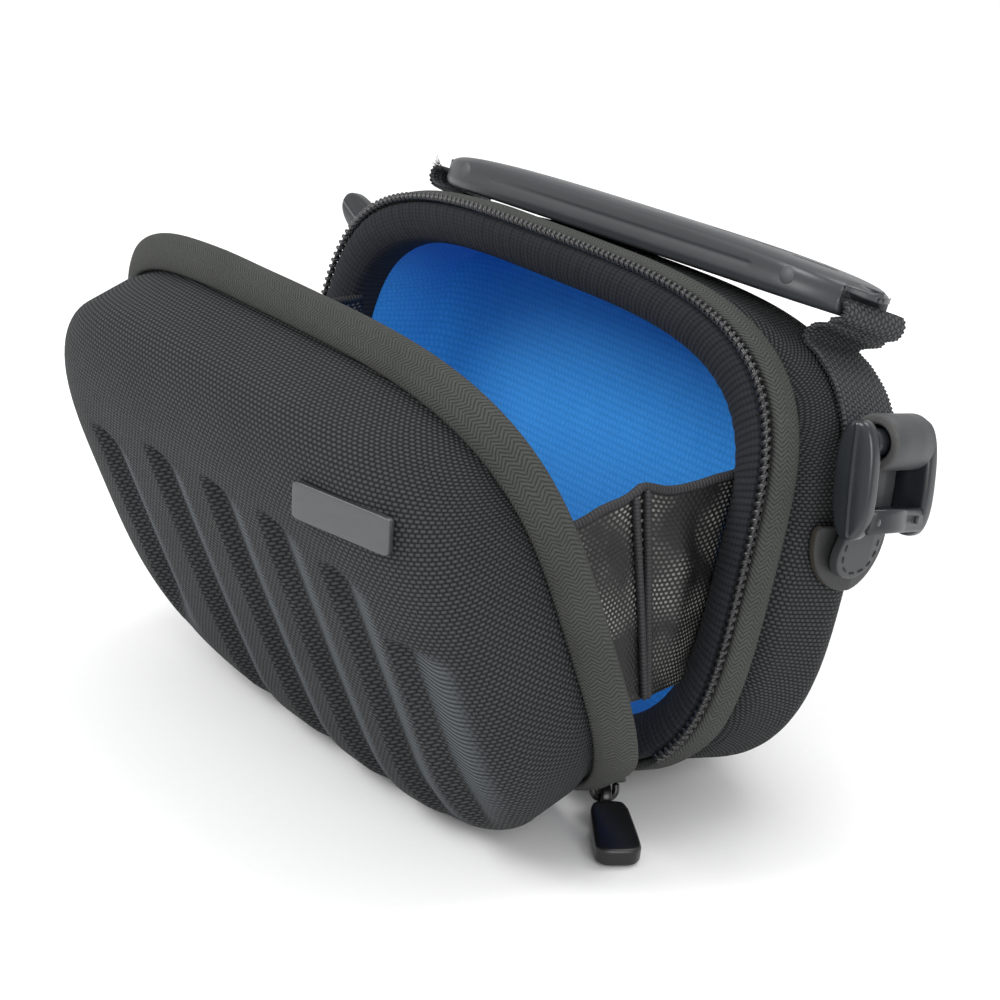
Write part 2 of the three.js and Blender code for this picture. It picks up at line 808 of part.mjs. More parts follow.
// Pull frame: origin on the bail's bar, x towards the tip, z up out of its upper face.
function zipPull() {
  const eyeRadius = 1.6;
  const eyeOutside = 2.6;
  const eyeWidth = 2;
  const neckLength = 2.4;
  const eye = new THREE.Shape();
  eye.absarc(0, 0, eyeOutside, 0, 2 * Math.PI, false);
  const hole = new THREE.Path();
  hole.absarc(0, 0, eyeRadius, 0, 2 * Math.PI, true);
  eye.holes.push(hole);
  const ring = plateAcross(eye, eyeWidth, 0, 8);
  const neck = new THREE.BoxGeometry(neckLength, eyeWidth, 2);
  neck.translate(eyeRadius + 0.4 + neckLength / 2, 0, 0);
  const outline = new THREE.Shape();
  const from = 3.2;
  const half = pullWidth / 2;
  const corner = 1.6;
  outline.moveTo(from + corner, -half * 0.86);
  outline.lineTo(pullLength - corner, -half);
  outline.quadraticCurveTo(pullLength, -half, pullLength, -half + corner);
  outline.lineTo(pullLength, half - corner);
  outline.quadraticCurveTo(pullLength, half, pullLength - corner, half);
  outline.lineTo(from + corner, half * 0.86);
  outline.quadraticCurveTo(from, half * 0.86, from, half * 0.86 - corner);
  outline.lineTo(from, -half * 0.86 + corner);
  outline.quadraticCurveTo(from, -half * 0.86, from + corner, -half * 0.86);
  const extrusion = { depth: pullThickness, bevelEnabled: false, curveSegments: 3 };
  const grip = new THREE.ExtrudeGeometry(outline, extrusion);
  grip.translate(0, 0, -pullThickness / 2);
  return joined(ring, neck, grip);
}

// ---- Badge ----------------------------------------------------------------------------------------------

const badge = {
  width: 23,
  height: 6.5,
  thickness: 1.3,
  corner: 1,
  at: new THREE.Vector3(50.6, -28.2, 33.9),
  facing: new THREE.Vector3(0.05, -0.94, 0.33),
};

function badgePlate() {
  const { width, height, thickness, corner } = badge;
  const shape = new THREE.Shape();
  const [x, z] = [width / 2, height / 2];
  shape.moveTo(-x + corner, -z);
  shape.lineTo(x - corner, -z);
  shape.quadraticCurveTo(x, -z, x, -z + corner);
  shape.lineTo(x, z - corner);
  shape.quadraticCurveTo(x, z, x - corner, z);
  shape.lineTo(-x + corner, z);
  shape.quadraticCurveTo(-x, z, -x, z - corner);
  shape.lineTo(-x, -z + corner);
  shape.quadraticCurveTo(-x, -z, -x + corner, -z);
  return new THREE.ExtrudeGeometry(shape, { depth: thickness, bevelEnabled: false, curveSegments: 3 });
}

// The badge's long side runs along X as closely as its slope allows, and z points out of the lid.
function badgeFrame() {
  const outwards = badge.facing.clone().normalize();
  const upwards = new THREE.Vector3().crossVectors(outwards, new THREE.Vector3(1, 0, 0)).normalize();
  const along = new THREE.Vector3().crossVectors(upwards, outwards);
  return new THREE.Matrix4().makeBasis(along, upwards, outwards).setPosition(badge.at);
}

// ---- Assembly -------------------------------------------------------------------------------------------

// Everything fixed to the body half, in the case's own frame.
const caseBody = new THREE.Group();
caseBody.add(...halfPieces(bodyHalf, "body"));
caseBody.add(named("hinge_fabric", hingeStrip(), tapeFabric, 0.9));

for (const [place, side] of [
  ["right", 1],
  ["left", -1],
]) {
  caseBody.add(
    named(`gusset_${place}_body`, bodyGusset(side), meshFabric, 0.8),
    named(`webbing_${place}`, sideWebbing(side), webbingFabric, 0.9),
    named(`webbing_riser_${place}`, webbingRiser(side), webbingFabric, 0.9),
    named(`anchor_patch_${place}`, anchorPatch(side), greyLeather, 0.6),
    named(`leather_loop_${place}`, leatherLoop(side, ringTurn[place]), greyLeather, 0.6),
  );
  const ring = named(`strap_ring_${place}`, strapRing(), greyPlastic, 0.35);
  const swing = side > 0 ? -rightRingSwing : leftRingSwing;
  ring.position.set(side * ringPivot.x, ringPivot.y, ringPivot.z);
  ring.rotation.set(0, swing, side * ringTurn[place], "ZYX");
  caseBody.add(ring);
}

// The handle rolls back a little on its webbing, about its lower front edge, and sits higher at its right
// end.
const handleGroup = new THREE.Group();
const handleDrop = (handleWidth / 2) * Math.sin(handleRoll);
handleGroup.position.set(handleShift, handleDepth, handleUnderside - handleDrop);
handleGroup.rotation.set(-handleRoll, -handleTilt, 0);
handleGroup.add(
  named("handle_grip", handleGrip(), greyPlastic, 0.45),
  named("handle_pin_right", handlePin(1), greyPlastic, 0.4),
  named("handle_pin_left", handlePin(-1), greyPlastic, 0.4),
);
caseBody.add(handleGroup);

const sliderGroup = new THREE.Group();
sliderGroup.applyMatrix4(sliderFrame());
sliderGroup.add(named("zip_slider", zipSlider(), blackPlastic, 0.3));
sliderGroup.add(named("slider_bail", sliderBail(), blackPlastic, 0.3));
caseBody.add(sliderGroup);
const pull = named("zip_pull", zipPull(), blackPlastic, 0.15);
pull.position.set(0, 0, pullPivotHeight());
pull.rotation.set(0, pullSwing, pullYaw, "ZYX");
sliderGroup.add(pull);

// The lid, drawn closed and turned open about the hinge line.
const lidContents = new THREE.Group();
lidContents.position.z = -hingeHeight;
lidContents.add(...halfPieces(lidHalf, "lid"));
const badgeMesh = named("badge_plate", badgePlate(), satinMetal, 0.35, 0.8);
badgeMesh.applyMatrix4(badgeFrame());
lidContents.add(badgeMesh);

const lid = new THREE.Group();
lid.position.z = hingeHeight;
lid.rotation.x = openAngle;
lid.add(lidContents);
for (const [place, side] of [
  ["right", 1],
  ["left", -1],
])
  lid.add(named(`gusset_${place}_lid`, lidGusset(side), meshFabric, 0.8));
caseBody.add(lid);

// The open case rocks back until both halves touch the floor.
function settle() {
  const lowest = (name) => new THREE.Box3().setFromObject(caseBody.getObjectByName(name), true).min.z;
  let low = 0;
  let high = openAngle;
  for (let i = 0; i < 24; i++) {
    const lean = (low + high) / 2;
    caseBody.rotation.x = -lean;
    caseBody.updateMatrixWorld(true);
    if (lowest("lid_shell") < lowest("body_shell")) low = lean;
    else high = lean;
  }
}

// The origin is the middle of the footprint.
settle();
const part = new THREE.Group();
part.add(caseBody);
part.updateMatrixWorld(true);
const extent = new THREE.Box3().setFromObject(part, true);
const middle = extent.getCenter(new THREE.Vector3());
caseBody.position.set(-middle.x, -middle.y, -extent.min.z);

export default part;
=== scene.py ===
import json
import math

import bpy
import numpy as np
from mathutils import Matrix, Vector


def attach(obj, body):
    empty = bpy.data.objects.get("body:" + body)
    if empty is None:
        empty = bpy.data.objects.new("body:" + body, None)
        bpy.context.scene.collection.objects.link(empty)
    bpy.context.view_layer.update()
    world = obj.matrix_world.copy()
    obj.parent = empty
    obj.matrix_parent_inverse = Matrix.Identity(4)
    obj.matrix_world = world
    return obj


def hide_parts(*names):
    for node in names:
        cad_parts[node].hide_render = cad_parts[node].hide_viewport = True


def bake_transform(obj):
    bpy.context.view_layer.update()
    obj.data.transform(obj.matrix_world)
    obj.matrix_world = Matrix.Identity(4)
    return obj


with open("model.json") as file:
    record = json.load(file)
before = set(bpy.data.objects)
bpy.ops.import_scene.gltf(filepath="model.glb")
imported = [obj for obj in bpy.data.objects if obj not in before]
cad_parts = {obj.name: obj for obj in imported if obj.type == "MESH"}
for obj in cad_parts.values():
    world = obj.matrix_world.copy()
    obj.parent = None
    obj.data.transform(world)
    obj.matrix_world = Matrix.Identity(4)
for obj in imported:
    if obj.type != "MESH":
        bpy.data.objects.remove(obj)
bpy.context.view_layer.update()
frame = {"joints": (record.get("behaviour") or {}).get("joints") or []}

# ---- Driving dimensions ----

MILLIMETRE = 0.001
HALF_WIDTH = 71.0
HALF_HEIGHT = 46.2
WIDEST_HEIGHT = 1.6
TOP_SQUARENESS = 3.7
BOTTOM_SQUARENESS = 3.5
HINGE_HEIGHT = -47.1
HINGE_HALF_LENGTH = 30.0
OPEN_ANGLE = math.radians(33.5)
BODY, LID = 1, -1

COIL_PITCH = 1.5
COIL_SETBACK = 1.1
COIL_TURNS = (math.radians(-42), math.radians(222))
LIP_FLAT_TURN = math.radians(-42)
LIP_FULL_TURN = math.radians(-30)

WEBBING_DEPTHS = (20.0, 36.0)
WEBBING_THICKNESS = 1.4
STRAP_BEND_DEPTH = 27.0
STRAP_FALL = 0.27

HANDLE_HALF_LENGTH = 64.0
HANDLE_HALF_WIDTH = 10.0
HANDLE_ROLL = math.radians(6)
HANDLE_TILT = math.radians(1)
HANDLE_PIN_OUT = 49.5

RING_PIVOT = (74.4, 25.8, 28.8)

# ---- Frames ----

joints = {joint["name"]: joint for joint in frame["joints"]}


def axes_frame(origin, x_axis, y_axis, z_axis):
    """The matrix that turns X, Y and Z to three unit axes and moves them to an origin."""
    placed = Matrix((x_axis, y_axis, z_axis)).transposed().to_4x4()
    placed.translation = origin
    return placed


def turned(angle, axis):
    return Matrix.Rotation(angle, 4, axis)


case_up = Vector(joints["handle_lift"]["axis"])
case_right = Vector((1, 0, 0))
case_back = case_up.cross(case_right)
hinge_point = Vector(joints["lid_hinge"]["pos_m"])
case_frame = (
    axes_frame(hinge_point, case_right, case_back, case_up)
    @ Matrix.Scale(MILLIMETRE, 4)
    @ Matrix.Translation((0, 0, -HINGE_HEIGHT))
)
lid_frame = (
    case_frame
    @ Matrix.Translation((0, 0, HINGE_HEIGHT))
    @ turned(OPEN_ANGLE, "X")
    @ Matrix.Translation((0, 0, -HINGE_HEIGHT))
)
handle_frame = (
    case_frame
    @ Matrix.Translation((-1.3, 26, 46.6 - HANDLE_HALF_WIDTH * math.sin(HANDLE_ROLL)))
    @ turned(-HANDLE_ROLL, "X")
    @ turned(-HANDLE_TILT, "Y")
)


def in_row(place, point):
    return place @ Vector(point)


def hang(made, body, slot, *nodes):
    """Hangs a piece on its body, and hides the CAD nodes it stands for."""
    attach(made, body)
    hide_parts(*nodes)


# ---- Curves and outlines ----


def smoothstep(value, low, high):
    share = np.clip((np.asarray(value, float) - low) / (high - low), 0, 1)
    return share * share * (3 - 2 * share)


def outline(turn, offset):
    """x and z of the case outline at a turn angle, where 0 is the right side, moved outwards by offset."""
    cosine, sine = np.cos(turn), np.sin(turn)
    power = np.where(sine >= 0, TOP_SQUARENESS, BOTTOM_SQUARENESS)
    reach = (np.abs(cosine) ** power + np.abs(sine) ** power) ** (-1 / power)
    height = HALF_HEIGHT + offset + np.where(sine >= 0, -WIDEST_HEIGHT, WIDEST_HEIGHT)
    return (HALF_WIDTH + offset) * reach * cosine, WIDEST_HEIGHT + height * reach * sine


def even_turns(count, start=0.0, end=2 * math.pi, include_end=False):
    """Turn angles spaced evenly along the outline, and the length of outline before each."""
    fine = np.linspace(start, end, 6000)
    x, z = outline(fine, 0)
    length = np.concatenate([[0], np.cumsum(np.hypot(np.diff(x), np.diff(z)))])
    wanted = np.linspace(0, length[-1], count, endpoint=include_end)
    return np.interp(wanted, length, fine), wanted


def outline_normals(turns):
    """Unit vectors square to the outline, pointing outwards."""
    ahead, behind = outline(turns + 1e-3, 0), outline(turns - 1e-3, 0)
    dx, dz = ahead[0] - behind[0], ahead[1] - behind[1]
    return np.stack([dz, -dx], -1) / np.hypot(dx, dz)[:, None]


def catmull(points, steps, loop=False):
    """A smooth line through points with steps pieces between each pair."""
    points = np.asarray(points, float)
    if loop:
        padded = np.concatenate([points[-1:], points, points[:2]])
    else:
        padded = np.concatenate([2 * points[:1] - points[1:2], points, 2 * points[-1:] - points[-2:-1]])
    spans = len(padded) - 3
    t = np.linspace(0, 1, steps, endpoint=False)[:, None]
    pieces = []
    for i in range(spans):
        a, b, c, d = padded[i : i + 4]
        pieces.append(
            0.5 * (2 * b + (c - a) * t + (2 * a - 5 * b + 4 * c - d) * t**2 + (3 * b - 3 * c + d - a) * t**3)
        )
    line = np.concatenate(pieces)
    return line if loop else np.concatenate([line, points[-1:]])


def spaced(line, count):
    """count points evenly spaced along a line."""
    length = np.concatenate([[0], np.cumsum(np.linalg.norm(np.diff(line, axis=0), axis=1))])
    wanted = np.linspace(0, length[-1], count)
    return np.stack([np.interp(wanted, length, line[:, k]) for k in range(line.shape[1])], -1)


def soft_noise(x, y, scale, seed):
    """Smooth noise from -1 to 1 over a plane, made of a few seeded waves."""
    draws = np.random.default_rng(seed)
    total = np.zeros_like(np.asarray(x, float) + np.asarray(y, float))
    waves = 7
    for _ in range(waves):
        angle = draws.uniform(0, 2 * math.pi)
        pitch = scale * draws.uniform(0.7, 1.6)
        phase = draws.uniform(0, 2 * math.pi)
        total += np.sin(2 * math.pi * (x * math.cos(angle) + y * math.sin(angle)) / pitch + phase)
    return total / waves


# ---- Mesh building ----


class Shape:
    """Closed surfaces in millimetres, gathered into one mesh with a cloth map in millimetres."""

    def __init__(self):
        self.points, self.faces, self.maps, self.slots, self.values = [], [], [], [], []
        self.count = 0

    def loft(self, rings, cloth=None, wrap=False, slot=0, value=None):
        """A body through rings of points, wrapped round to the first ring or closed with a cap at each end.

        cloth holds a map point for each ring point, with one more column where the ring closes."""
        rings = np.asarray(rings, float)
        rows, columns = rings.shape[:2]
        if cloth is None:
            cloth = lengths_map(rings, wrap)
        points = rings.reshape(-1, 3)
        row = np.arange(rows if wrap else rows - 1)
        column = np.arange(columns)
        r, c = (part.ravel() for part in np.meshgrid(row, column, indexing="ij"))
        r1, c1 = (r + 1) % rows, (c + 1) % columns
        quads = np.stack([r * columns + c, r * columns + c1, r1 * columns + c1, r1 * columns + c], -1)
        quad_maps = np.stack([cloth[r, c], cloth[r, c + 1], cloth[r + 1, c + 1], cloth[r + 1, c]], 1)
        faces, maps = [tuple(quad) for quad in quads.tolist()], list(quad_maps)
        slots = [slot if np.isscalar(slot) else int(slot[i % columns]) for i in range(len(quads))]
        values = np.zeros(len(points)) if value is None else np.asarray(value, float).ravel()
        if not wrap:
            for ring_row, forwards in ((0, False), (rows - 1, True)):
                middle = len(points)
                points = np.concatenate([points, rings[ring_row].mean(0)[None]])
                values = np.append(values, values[ring_row * columns : (ring_row + 1) * columns].mean())
                middle_map = cloth[ring_row, :columns].mean(0)
                for k in range(columns):
                    k1 = (k + 1) % columns
                    near, far = ring_row * columns + k, ring_row * columns + k1
                    pair = [(near, cloth[ring_row, k]), (far, cloth[ring_row, k + 1])]
                    if not forwards:
                        pair.reverse()
                    faces.append((pair[0][0], pair[1][0], middle))
                    maps.append(np.array([pair[0][1], pair[1][1], middle_map]))
                    slots.append(slot if np.isscalar(slot) else int(slot[k]))
        if enclosed(points, faces) < 0:
            faces = [face[::-1] for face in faces]
            maps = [corner[::-1] for corner in maps]
        self.faces += [tuple(k + self.count for k in face) for face in faces]
        self.points.append(points)
        self.values.append(values)
        self.maps += maps
        self.slots += slots
        self.count += len(points)
        return self

    def moved(self, change):
        """The same shape with a matrix applied in millimetres."""
        matrix = np.array(change)
        self.points = [part @ matrix[:3, :3].T + matrix[:3, 3] for part in self.points]
        return self

    def build(self, name, place, materials, value_name=None):
        points = np.concatenate(self.points)
        matrix = np.array(place)
        mesh = bpy.data.meshes.new(name)
        mesh.from_pydata((points @ matrix[:3, :3].T + matrix[:3, 3]).tolist(), [], self.faces)
        maps = np.concatenate(self.maps).astype(np.float32)
        mesh.uv_layers.new(name="cloth").data.foreach_set("uv", maps.ravel())
        for material in materials:
            mesh.materials.append(material)
        mesh.polygons.foreach_set("material_index", np.array(self.slots, np.int32))
        mesh.polygons.foreach_set("use_smooth", np.ones(len(self.faces), bool))
        if value_name:
            layer = mesh.attributes.new(value_name, "FLOAT", "POINT")
            layer.data.foreach_set("value", np.concatenate(self.values).astype(np.float32))
        mesh.update()
        made = bpy.data.objects.new(name, mesh)
        bpy.context.scene.collection.objects.link(made)
        return made


def enclosed(points, faces):
    """Signed volume inside a closed surface, from its faces as fans."""
    total = 0.0
    for corners in (3, 4):
        some = np.array([face for face in faces if len(face) == corners])
        for k in range(1, corners - 1):
            if len(some):
                a, b, c = points[some[:, 0]], points[some[:, k]], points[some[:, k + 1]]
                total += np.einsum("ij,ij->", a, np.cross(b, c)) / 6
    return total


def lengths_map(rings, wrap):
    """A cloth map from the lengths along and across a loft."""
    closed = np.concatenate([rings, rings[:, :1]], 1)
    around = np.linalg.norm(np.diff(closed, axis=1), axis=2).mean(0)
    u = np.concatenate([[0], np.cumsum(around)])
    steps = np.concatenate([rings, rings[:1]], 0) if wrap else rings
    along = np.linalg.norm(np.diff(steps, axis=0), axis=2).mean(1)
    v = np.concatenate([[0], np.cumsum(along)])
    return np.stack(np.meshgrid(u, v), -1)


def rounded_plate(edge, thickness, rounding, steps=4, fill=7, dome=0.0):
    """Rings of a flat plate with rounded edges, for Shape.loft. edge lists [a, b] points, and the plate's
    thickness runs from 0 upwards. dome raises the middle of both faces."""
    edge = np.asarray(edge, float)
    middle = edge.mean(0)
    tangent = np.roll(edge, -1, 0) - np.roll(edge, 1, 0)
    normal = np.stack([tangent[:, 1], -tangent[:, 0]], -1)
    normal /= np.linalg.norm(normal, axis=1)[:, None]
    if ((edge - middle) * normal).sum() < 0:
        normal = -normal
    corner = np.linspace(0, math.pi / 2, steps + 1)
    sides = [(rounding * (1 - math.sin(a)), rounding * (1 - math.cos(a))) for a in corner]
    flat = edge - normal * rounding
    rings = []
    for share in np.linspace(0.02, 1, fill)[:-1]:
        rise = dome * (1 - share**2)
        rings.append(np.column_stack([middle + (flat - middle) * share, np.full(len(edge), -rise)]))
    for inset, height in sides:
        rings.append(np.column_stack([edge - normal * inset, np.full(len(edge), height)]))
    lower = len(rings)
    for ring in reversed(rings[:lower]):
        upper = ring.copy()
        upper[:, 2] = thickness - ring[:, 2]
        rings.append(upper)
    return np.array(rings)


def superellipse(half_a, half_b, squareness, count):
    angle = np.linspace(0, 2 * math.pi, count, endpoint=False)
    cosine, sine = np.cos(angle), np.sin(angle)
    reach = (np.abs(cosine) ** squareness + np.abs(sine) ** squareness) ** (-1 / squareness)
    return np.column_stack([half_a * reach * cosine, half_b * reach * sine])


def rod(start, end, radius, sides=24, rounding=0.15):
    """Rings of a straight round bar from start to end."""
    start, end = np.asarray(start, float), np.asarray(end, float)
    along = (end - start) / np.linalg.norm(end - start)
    helper = np.array([0, 0, 1.0]) if abs(along[2]) < 0.9 else np.array([1.0, 0, 0])
    across = np.cross(along, helper)
    across /= np.linalg.norm(across)
    up = np.cross(across, along)
    angle = np.linspace(0, 2 * math.pi, sides, endpoint=False)[:, None]
    circle = np.cos(angle) * across + np.sin(angle) * up
    stations = [(start, radius - rounding), (start + along * rounding, radius)]
    stations += [(end - along * rounding, radius), (end, radius - rounding)]
    return np.array([centre + circle * size for centre, size in stations])


def thread(line, radius, sides=6):
    """Rings of a thin round cord along a line of points, with narrowed ends."""
    line = np.asarray(line, float)
    along = np.gradient(line, axis=0)
    along /= np.linalg.norm(along, axis=1)[:, None]
    helper = np.array([0.31, 0.83, 0.46])
    across = np.cross(along, helper)
    across /= np.linalg.norm(across, axis=1)[:, None]
    up = np.cross(across, along)
    angle = np.linspace(0, 2 * math.pi, sides, endpoint=False)
    size = np.full(len(line), radius)
    size[[0, -1]] = radius * 0.35
    circle = np.cos(angle)[None, :, None] * across[:, None] + np.sin(angle)[None, :, None] * up[:, None]
    return line[:, None] + circle * size[:, None, None]


# ---- Materials ----


class Paint:
    """A procedural material. Its methods add nodes and return output sockets."""

    def __init__(self, name, roughness, metallic=0.0, specular=0.5, sheen=0.0):
        self.material = bpy.data.materials.new(name)
        self.material.use_nodes = True
        self.tree = self.material.node_tree
        self.shader = self.tree.nodes["Principled BSDF"]
        for socket, value in (
            ("Roughness", roughness),
            ("Metallic", metallic),
            ("Specular IOR Level", specular),
            ("Sheen Weight", sheen),
        ):
            self.shader.inputs[socket].default_value = value

    def node(self, kind, *values, **settings):
        made = self.tree.nodes.new(kind)
        for key, value in settings.items():
            setattr(made, key, value)
        for socket, value in zip(made.inputs, values):
            self.feed(socket, value)
        return made

    def feed(self, socket, value):
        if isinstance(value, bpy.types.NodeSocket):
            self.tree.links.new(value, socket)
        else:
            socket.default_value = value

    def maths(self, operation, a, b=0.0):
        return self.node("ShaderNodeMath", a, b, operation=operation).outputs[0]

    def pushed(self, value, way, reach):
        """A value moved by reach times another."""
        return self.maths("ADD", value, self.maths("MULTIPLY", way, reach))

    def weighed(self, a, share_a, b, share_b):
        """Two heights added, with a share of each."""
        return self.pushed(self.maths("MULTIPLY", a, share_a), b, share_b)

    def cloth(self):
        """u and v along the surface, in millimetres."""
        layer = self.node("ShaderNodeUVMap", uv_map="cloth").outputs[0]
        split = self.node("ShaderNodeSeparateXYZ", layer)
        return split.outputs[0], split.outputs[1]

    def object_point(self):
        return self.node("ShaderNodeTexCoord").outputs["Object"]

    def noise(self, scale, detail=3.0, vector=None, roughness=0.5):
        """Noise from 0 to 1, with scale in patches per metre unless a vector is given."""
        made = self.node("ShaderNodeTexNoise")
        self.feed(made.inputs["Vector"], self.object_point() if vector is None else vector)
        made.inputs["Scale"].default_value = scale
        made.inputs["Detail"].default_value = detail
        made.inputs["Roughness"].default_value = roughness
        return made.outputs[0]

    def stitch(self, u, v, pitch_u, pitch_v, stagger=0.5, sharp=0.7):
        """The height of a cloth of rounded stitches, 0 to 1, with every other row shifted."""
        row = self.maths("DIVIDE", v, pitch_v)
        whole = self.maths("FLOOR", row)
        shift = self.maths("MULTIPLY", self.maths("PINGPONG", whole, 1.0), stagger)
        column = self.maths("ADD", self.maths("DIVIDE", u, pitch_u), shift)
        across = self.maths("SINE", self.maths("MULTIPLY", self.maths("FRACT", column), math.pi))
        along = self.maths("SINE", self.maths("MULTIPLY", self.maths("FRACT", row), math.pi))
        return self.maths("POWER", self.maths("MULTIPLY", across, along), sharp)

    def wave(self, value, pitch, sharp=1.0):
        """Ridges a pitch apart, 0 to 1."""
        folded = self.maths("FRACT", self.maths("DIVIDE", value, pitch))
        ridge = self.maths("SINE", self.maths("MULTIPLY", folded, math.pi))
        return self.maths("POWER", ridge, sharp)

    def ramp(self, value, *stops):
        """A colour from a value, by stops of (position, colour)."""
        made = self.node("ShaderNodeValToRGB", value)
        elements = made.color_ramp.elements
        while len(elements) < len(stops):
            elements.new(0.5)
        for element, (position, colour) in zip(elements, stops):
            element.position = position
            element.color = (*colour, 1)
        return made.outputs[0]

    def mix(self, share, a, b):
        made = self.node("ShaderNodeMix", data_type="RGBA")
        self.feed(made.inputs[0], share)
        for socket, value in ((made.inputs[6], a), (made.inputs[7], b)):
            self.feed(socket, value if isinstance(value, bpy.types.NodeSocket) else (*value, 1))
        return made.outputs[2]

    def thread_highlight_and_shade(self, height, patches, dark, light):
        """Painted shade in the hollows and a painted highlight on the threads, each a pair of colours that
        the patches mix.
        """
        return self.mix(height, self.mix(patches, *dark), self.mix(patches, *light))

    def spread(self, value, low, high):
        """A value from 0 to 1 stretched to run from low to high."""
        made = self.node("ShaderNodeMapRange")
        self.feed(made.inputs[0], value)
        made.inputs[3].default_value = low
        made.inputs[4].default_value = high
        return made.outputs[0]

    def finish(self, colour, height=None, depth=0.0001, strength=1.0, roughness=None):
        self.feed(self.shader.inputs["Base Color"], colour)
        if roughness is not None:
            self.feed(self.shader.inputs["Roughness"], roughness)
        if height is not None:
            bump = self.node("ShaderNodeBump")
            bump.inputs["Strength"].default_value = strength
            bump.inputs["Distance"].default_value = depth
            self.feed(bump.inputs["Height"], height)
            self.feed(self.shader.inputs["Normal"], bump.outputs[0])
        return self.material


def shell_weave():
    """Coarse charcoal weave. Where the grooves press the cloth flat, it shows fine ridges, and the paler
    colour there is a painted highlight on the grooves' lit slopes.
    """
    paint = Paint("shell_weave", roughness=0.72, specular=0.14)
    u, v = paint.cloth()
    stitches = paint.stitch(paint.pushed(u, paint.noise(160, 2), 0.7), v, 1.25, 0.8, sharp=0.8)
    ridges = paint.wave(v, 1.0)
    pressed_and_lit = paint.node("ShaderNodeAttribute", attribute_name="pressed_and_lit").outputs["Fac"]
    height = paint.pushed(stitches, paint.maths("SUBTRACT", ridges, stitches), pressed_and_lit)
    # The dark colours are painted shade between the threads, and the light ones painted highlights on them.
    dark = (0.003, 0.0032, 0.0036), (0.005, 0.0053, 0.006)
    light = (0.044, 0.0465, 0.048), (0.068, 0.072, 0.0745)
    plain = paint.thread_highlight_and_shade(height, paint.noise(45, 4), dark, light)
    # The pale colour paints a highlight on the lit, gentle slopes of the grooves.
    pale = paint.mix(height, (0.007, 0.009, 0.0105), (0.09, 0.102, 0.112))
    return paint.finish(paint.mix(pressed_and_lit, plain, pale), height, depth=0.00035, strength=0.9)


def tape_twill():
    """Greenish grey herringbone zip tape."""
    paint = Paint("tape_twill", roughness=0.8, specular=0.12)
    u, v = paint.cloth()
    drifting = paint.pushed(v, paint.noise(500, 3), 0.8)
    twill = paint.wave(paint.pushed(drifting, paint.maths("PINGPONG", u, 1.3), 0.9), 0.8, 0.8)
    height = paint.weighed(twill, 0.55, paint.noise(2400, 3), 0.45)
    # The dark colours are painted shade between the threads, and the light ones painted highlights on them.
    dark = (0.006, 0.0063, 0.006), (0.011, 0.0115, 0.0107)
    light = (0.058, 0.061, 0.057), (0.088, 0.092, 0.086)
    colour = paint.thread_highlight_and_shade(height, paint.noise(60, 4), dark, light)
    return paint.finish(colour, height, depth=0.00022, strength=0.9)


def rim_knit():
    """Black knitted binding with fine ribs across it."""
    paint = Paint("rim_knit", roughness=0.75, specular=0.12, sheen=0.03)
    u, v = paint.cloth()
    ribs = paint.wave(paint.pushed(v, paint.noise(90, 2), 1.2), 1.15, 0.8)
    height = paint.weighed(ribs, 0.7, paint.wave(u, 0.8), 0.3)
    # The dark colours are painted shade between the ribs, and the light ones painted highlights on their
    # crowns.
    dark = (0.004, 0.0045, 0.006), (0.008, 0.009, 0.011)
    light = (0.014, 0.015, 0.018), (0.028, 0.030, 0.035)
    colour = paint.thread_highlight_and_shade(height, paint.noise(70, 4), dark, light)
    return paint.finish(colour, height, depth=0.00025, strength=0.8)


def lining_fleece():
    """Bright blue brushed fleece in soft upright rows of loops."""
    paint = Paint("lining_fleece", roughness=0.95, specular=0.1, sheen=0.15)
    u, v = paint.cloth()
    rows = paint.stitch(paint.pushed(u, paint.noise(220, 3), 1.1), v, 1.15, 1.5, stagger=0.25, sharp=0.6)
    height = paint.weighed(rows, 0.35, paint.noise(2400, 4, roughness=0.7), 0.75)
    # The shaded colours paint shade into the hollows between the loops, and the lit ones a highlight on the
    # loop tops.
    shaded_fleece = (0.010, 0.165, 0.50), (0.014, 0.20, 0.58)
    lit_fleece = (0.050, 0.37, 0.86), (0.085, 0.45, 0.96)
    colour = paint.thread_highlight_and_shade(height, paint.noise(38, 3), shaded_fleece, lit_fleece)
    return paint.finish(colour, height, depth=0.0003, strength=0.8)


def coil_nylon():
    paint = Paint("coil_nylon", roughness=0.28, specular=0.6)
    scuffs = paint.noise(900, 3)
    colour = paint.mix(scuffs, (0.008, 0.008, 0.009), (0.03, 0.03, 0.033))
    return paint.finish(colour, scuffs, depth=0.00003, roughness=paint.spread(scuffs, 0.2, 0.4))


def gusset_mesh():
    """Shiny black mesh whose small holes show pale where the cloth is lit through."""
    paint = Paint("gusset_mesh", roughness=0.42, specular=0.3)
    u, v = paint.cloth()
    holes = paint.stitch(u, v, 0.95, 0.82, sharp=1.0)
    open_holes = paint.maths("GREATER_THAN", holes, 0.62)
    light = paint.ramp(paint.noise(75, 3), (0.42, (0, 0, 0)), (0.62, (1, 1, 1)))
    seen = paint.maths("MULTIPLY", open_holes, light)
    colour = paint.mix(seen, (0.009, 0.009, 0.0095), (0.20, 0.20, 0.185))
    return paint.finish(colour, paint.maths("SUBTRACT", 1.0, holes), depth=0.00012, strength=0.6)


def binding_tape():
    """Black ribbed tape on the gusset's edges."""
    paint = Paint("binding_tape", roughness=0.6, specular=0.4)
    ribs = paint.wave(paint.cloth()[1], 0.7)
    wear = paint.noise(300, 3)
    # Light on the ribs' tops is a painted highlight, and dark between them painted shade.
    colour = paint.mix(ribs, (0.004, 0.004, 0.005), (0.03, 0.03, 0.033))
    return paint.finish(paint.mix(wear, colour, (0.018, 0.018, 0.02)), ribs, depth=0.00012)


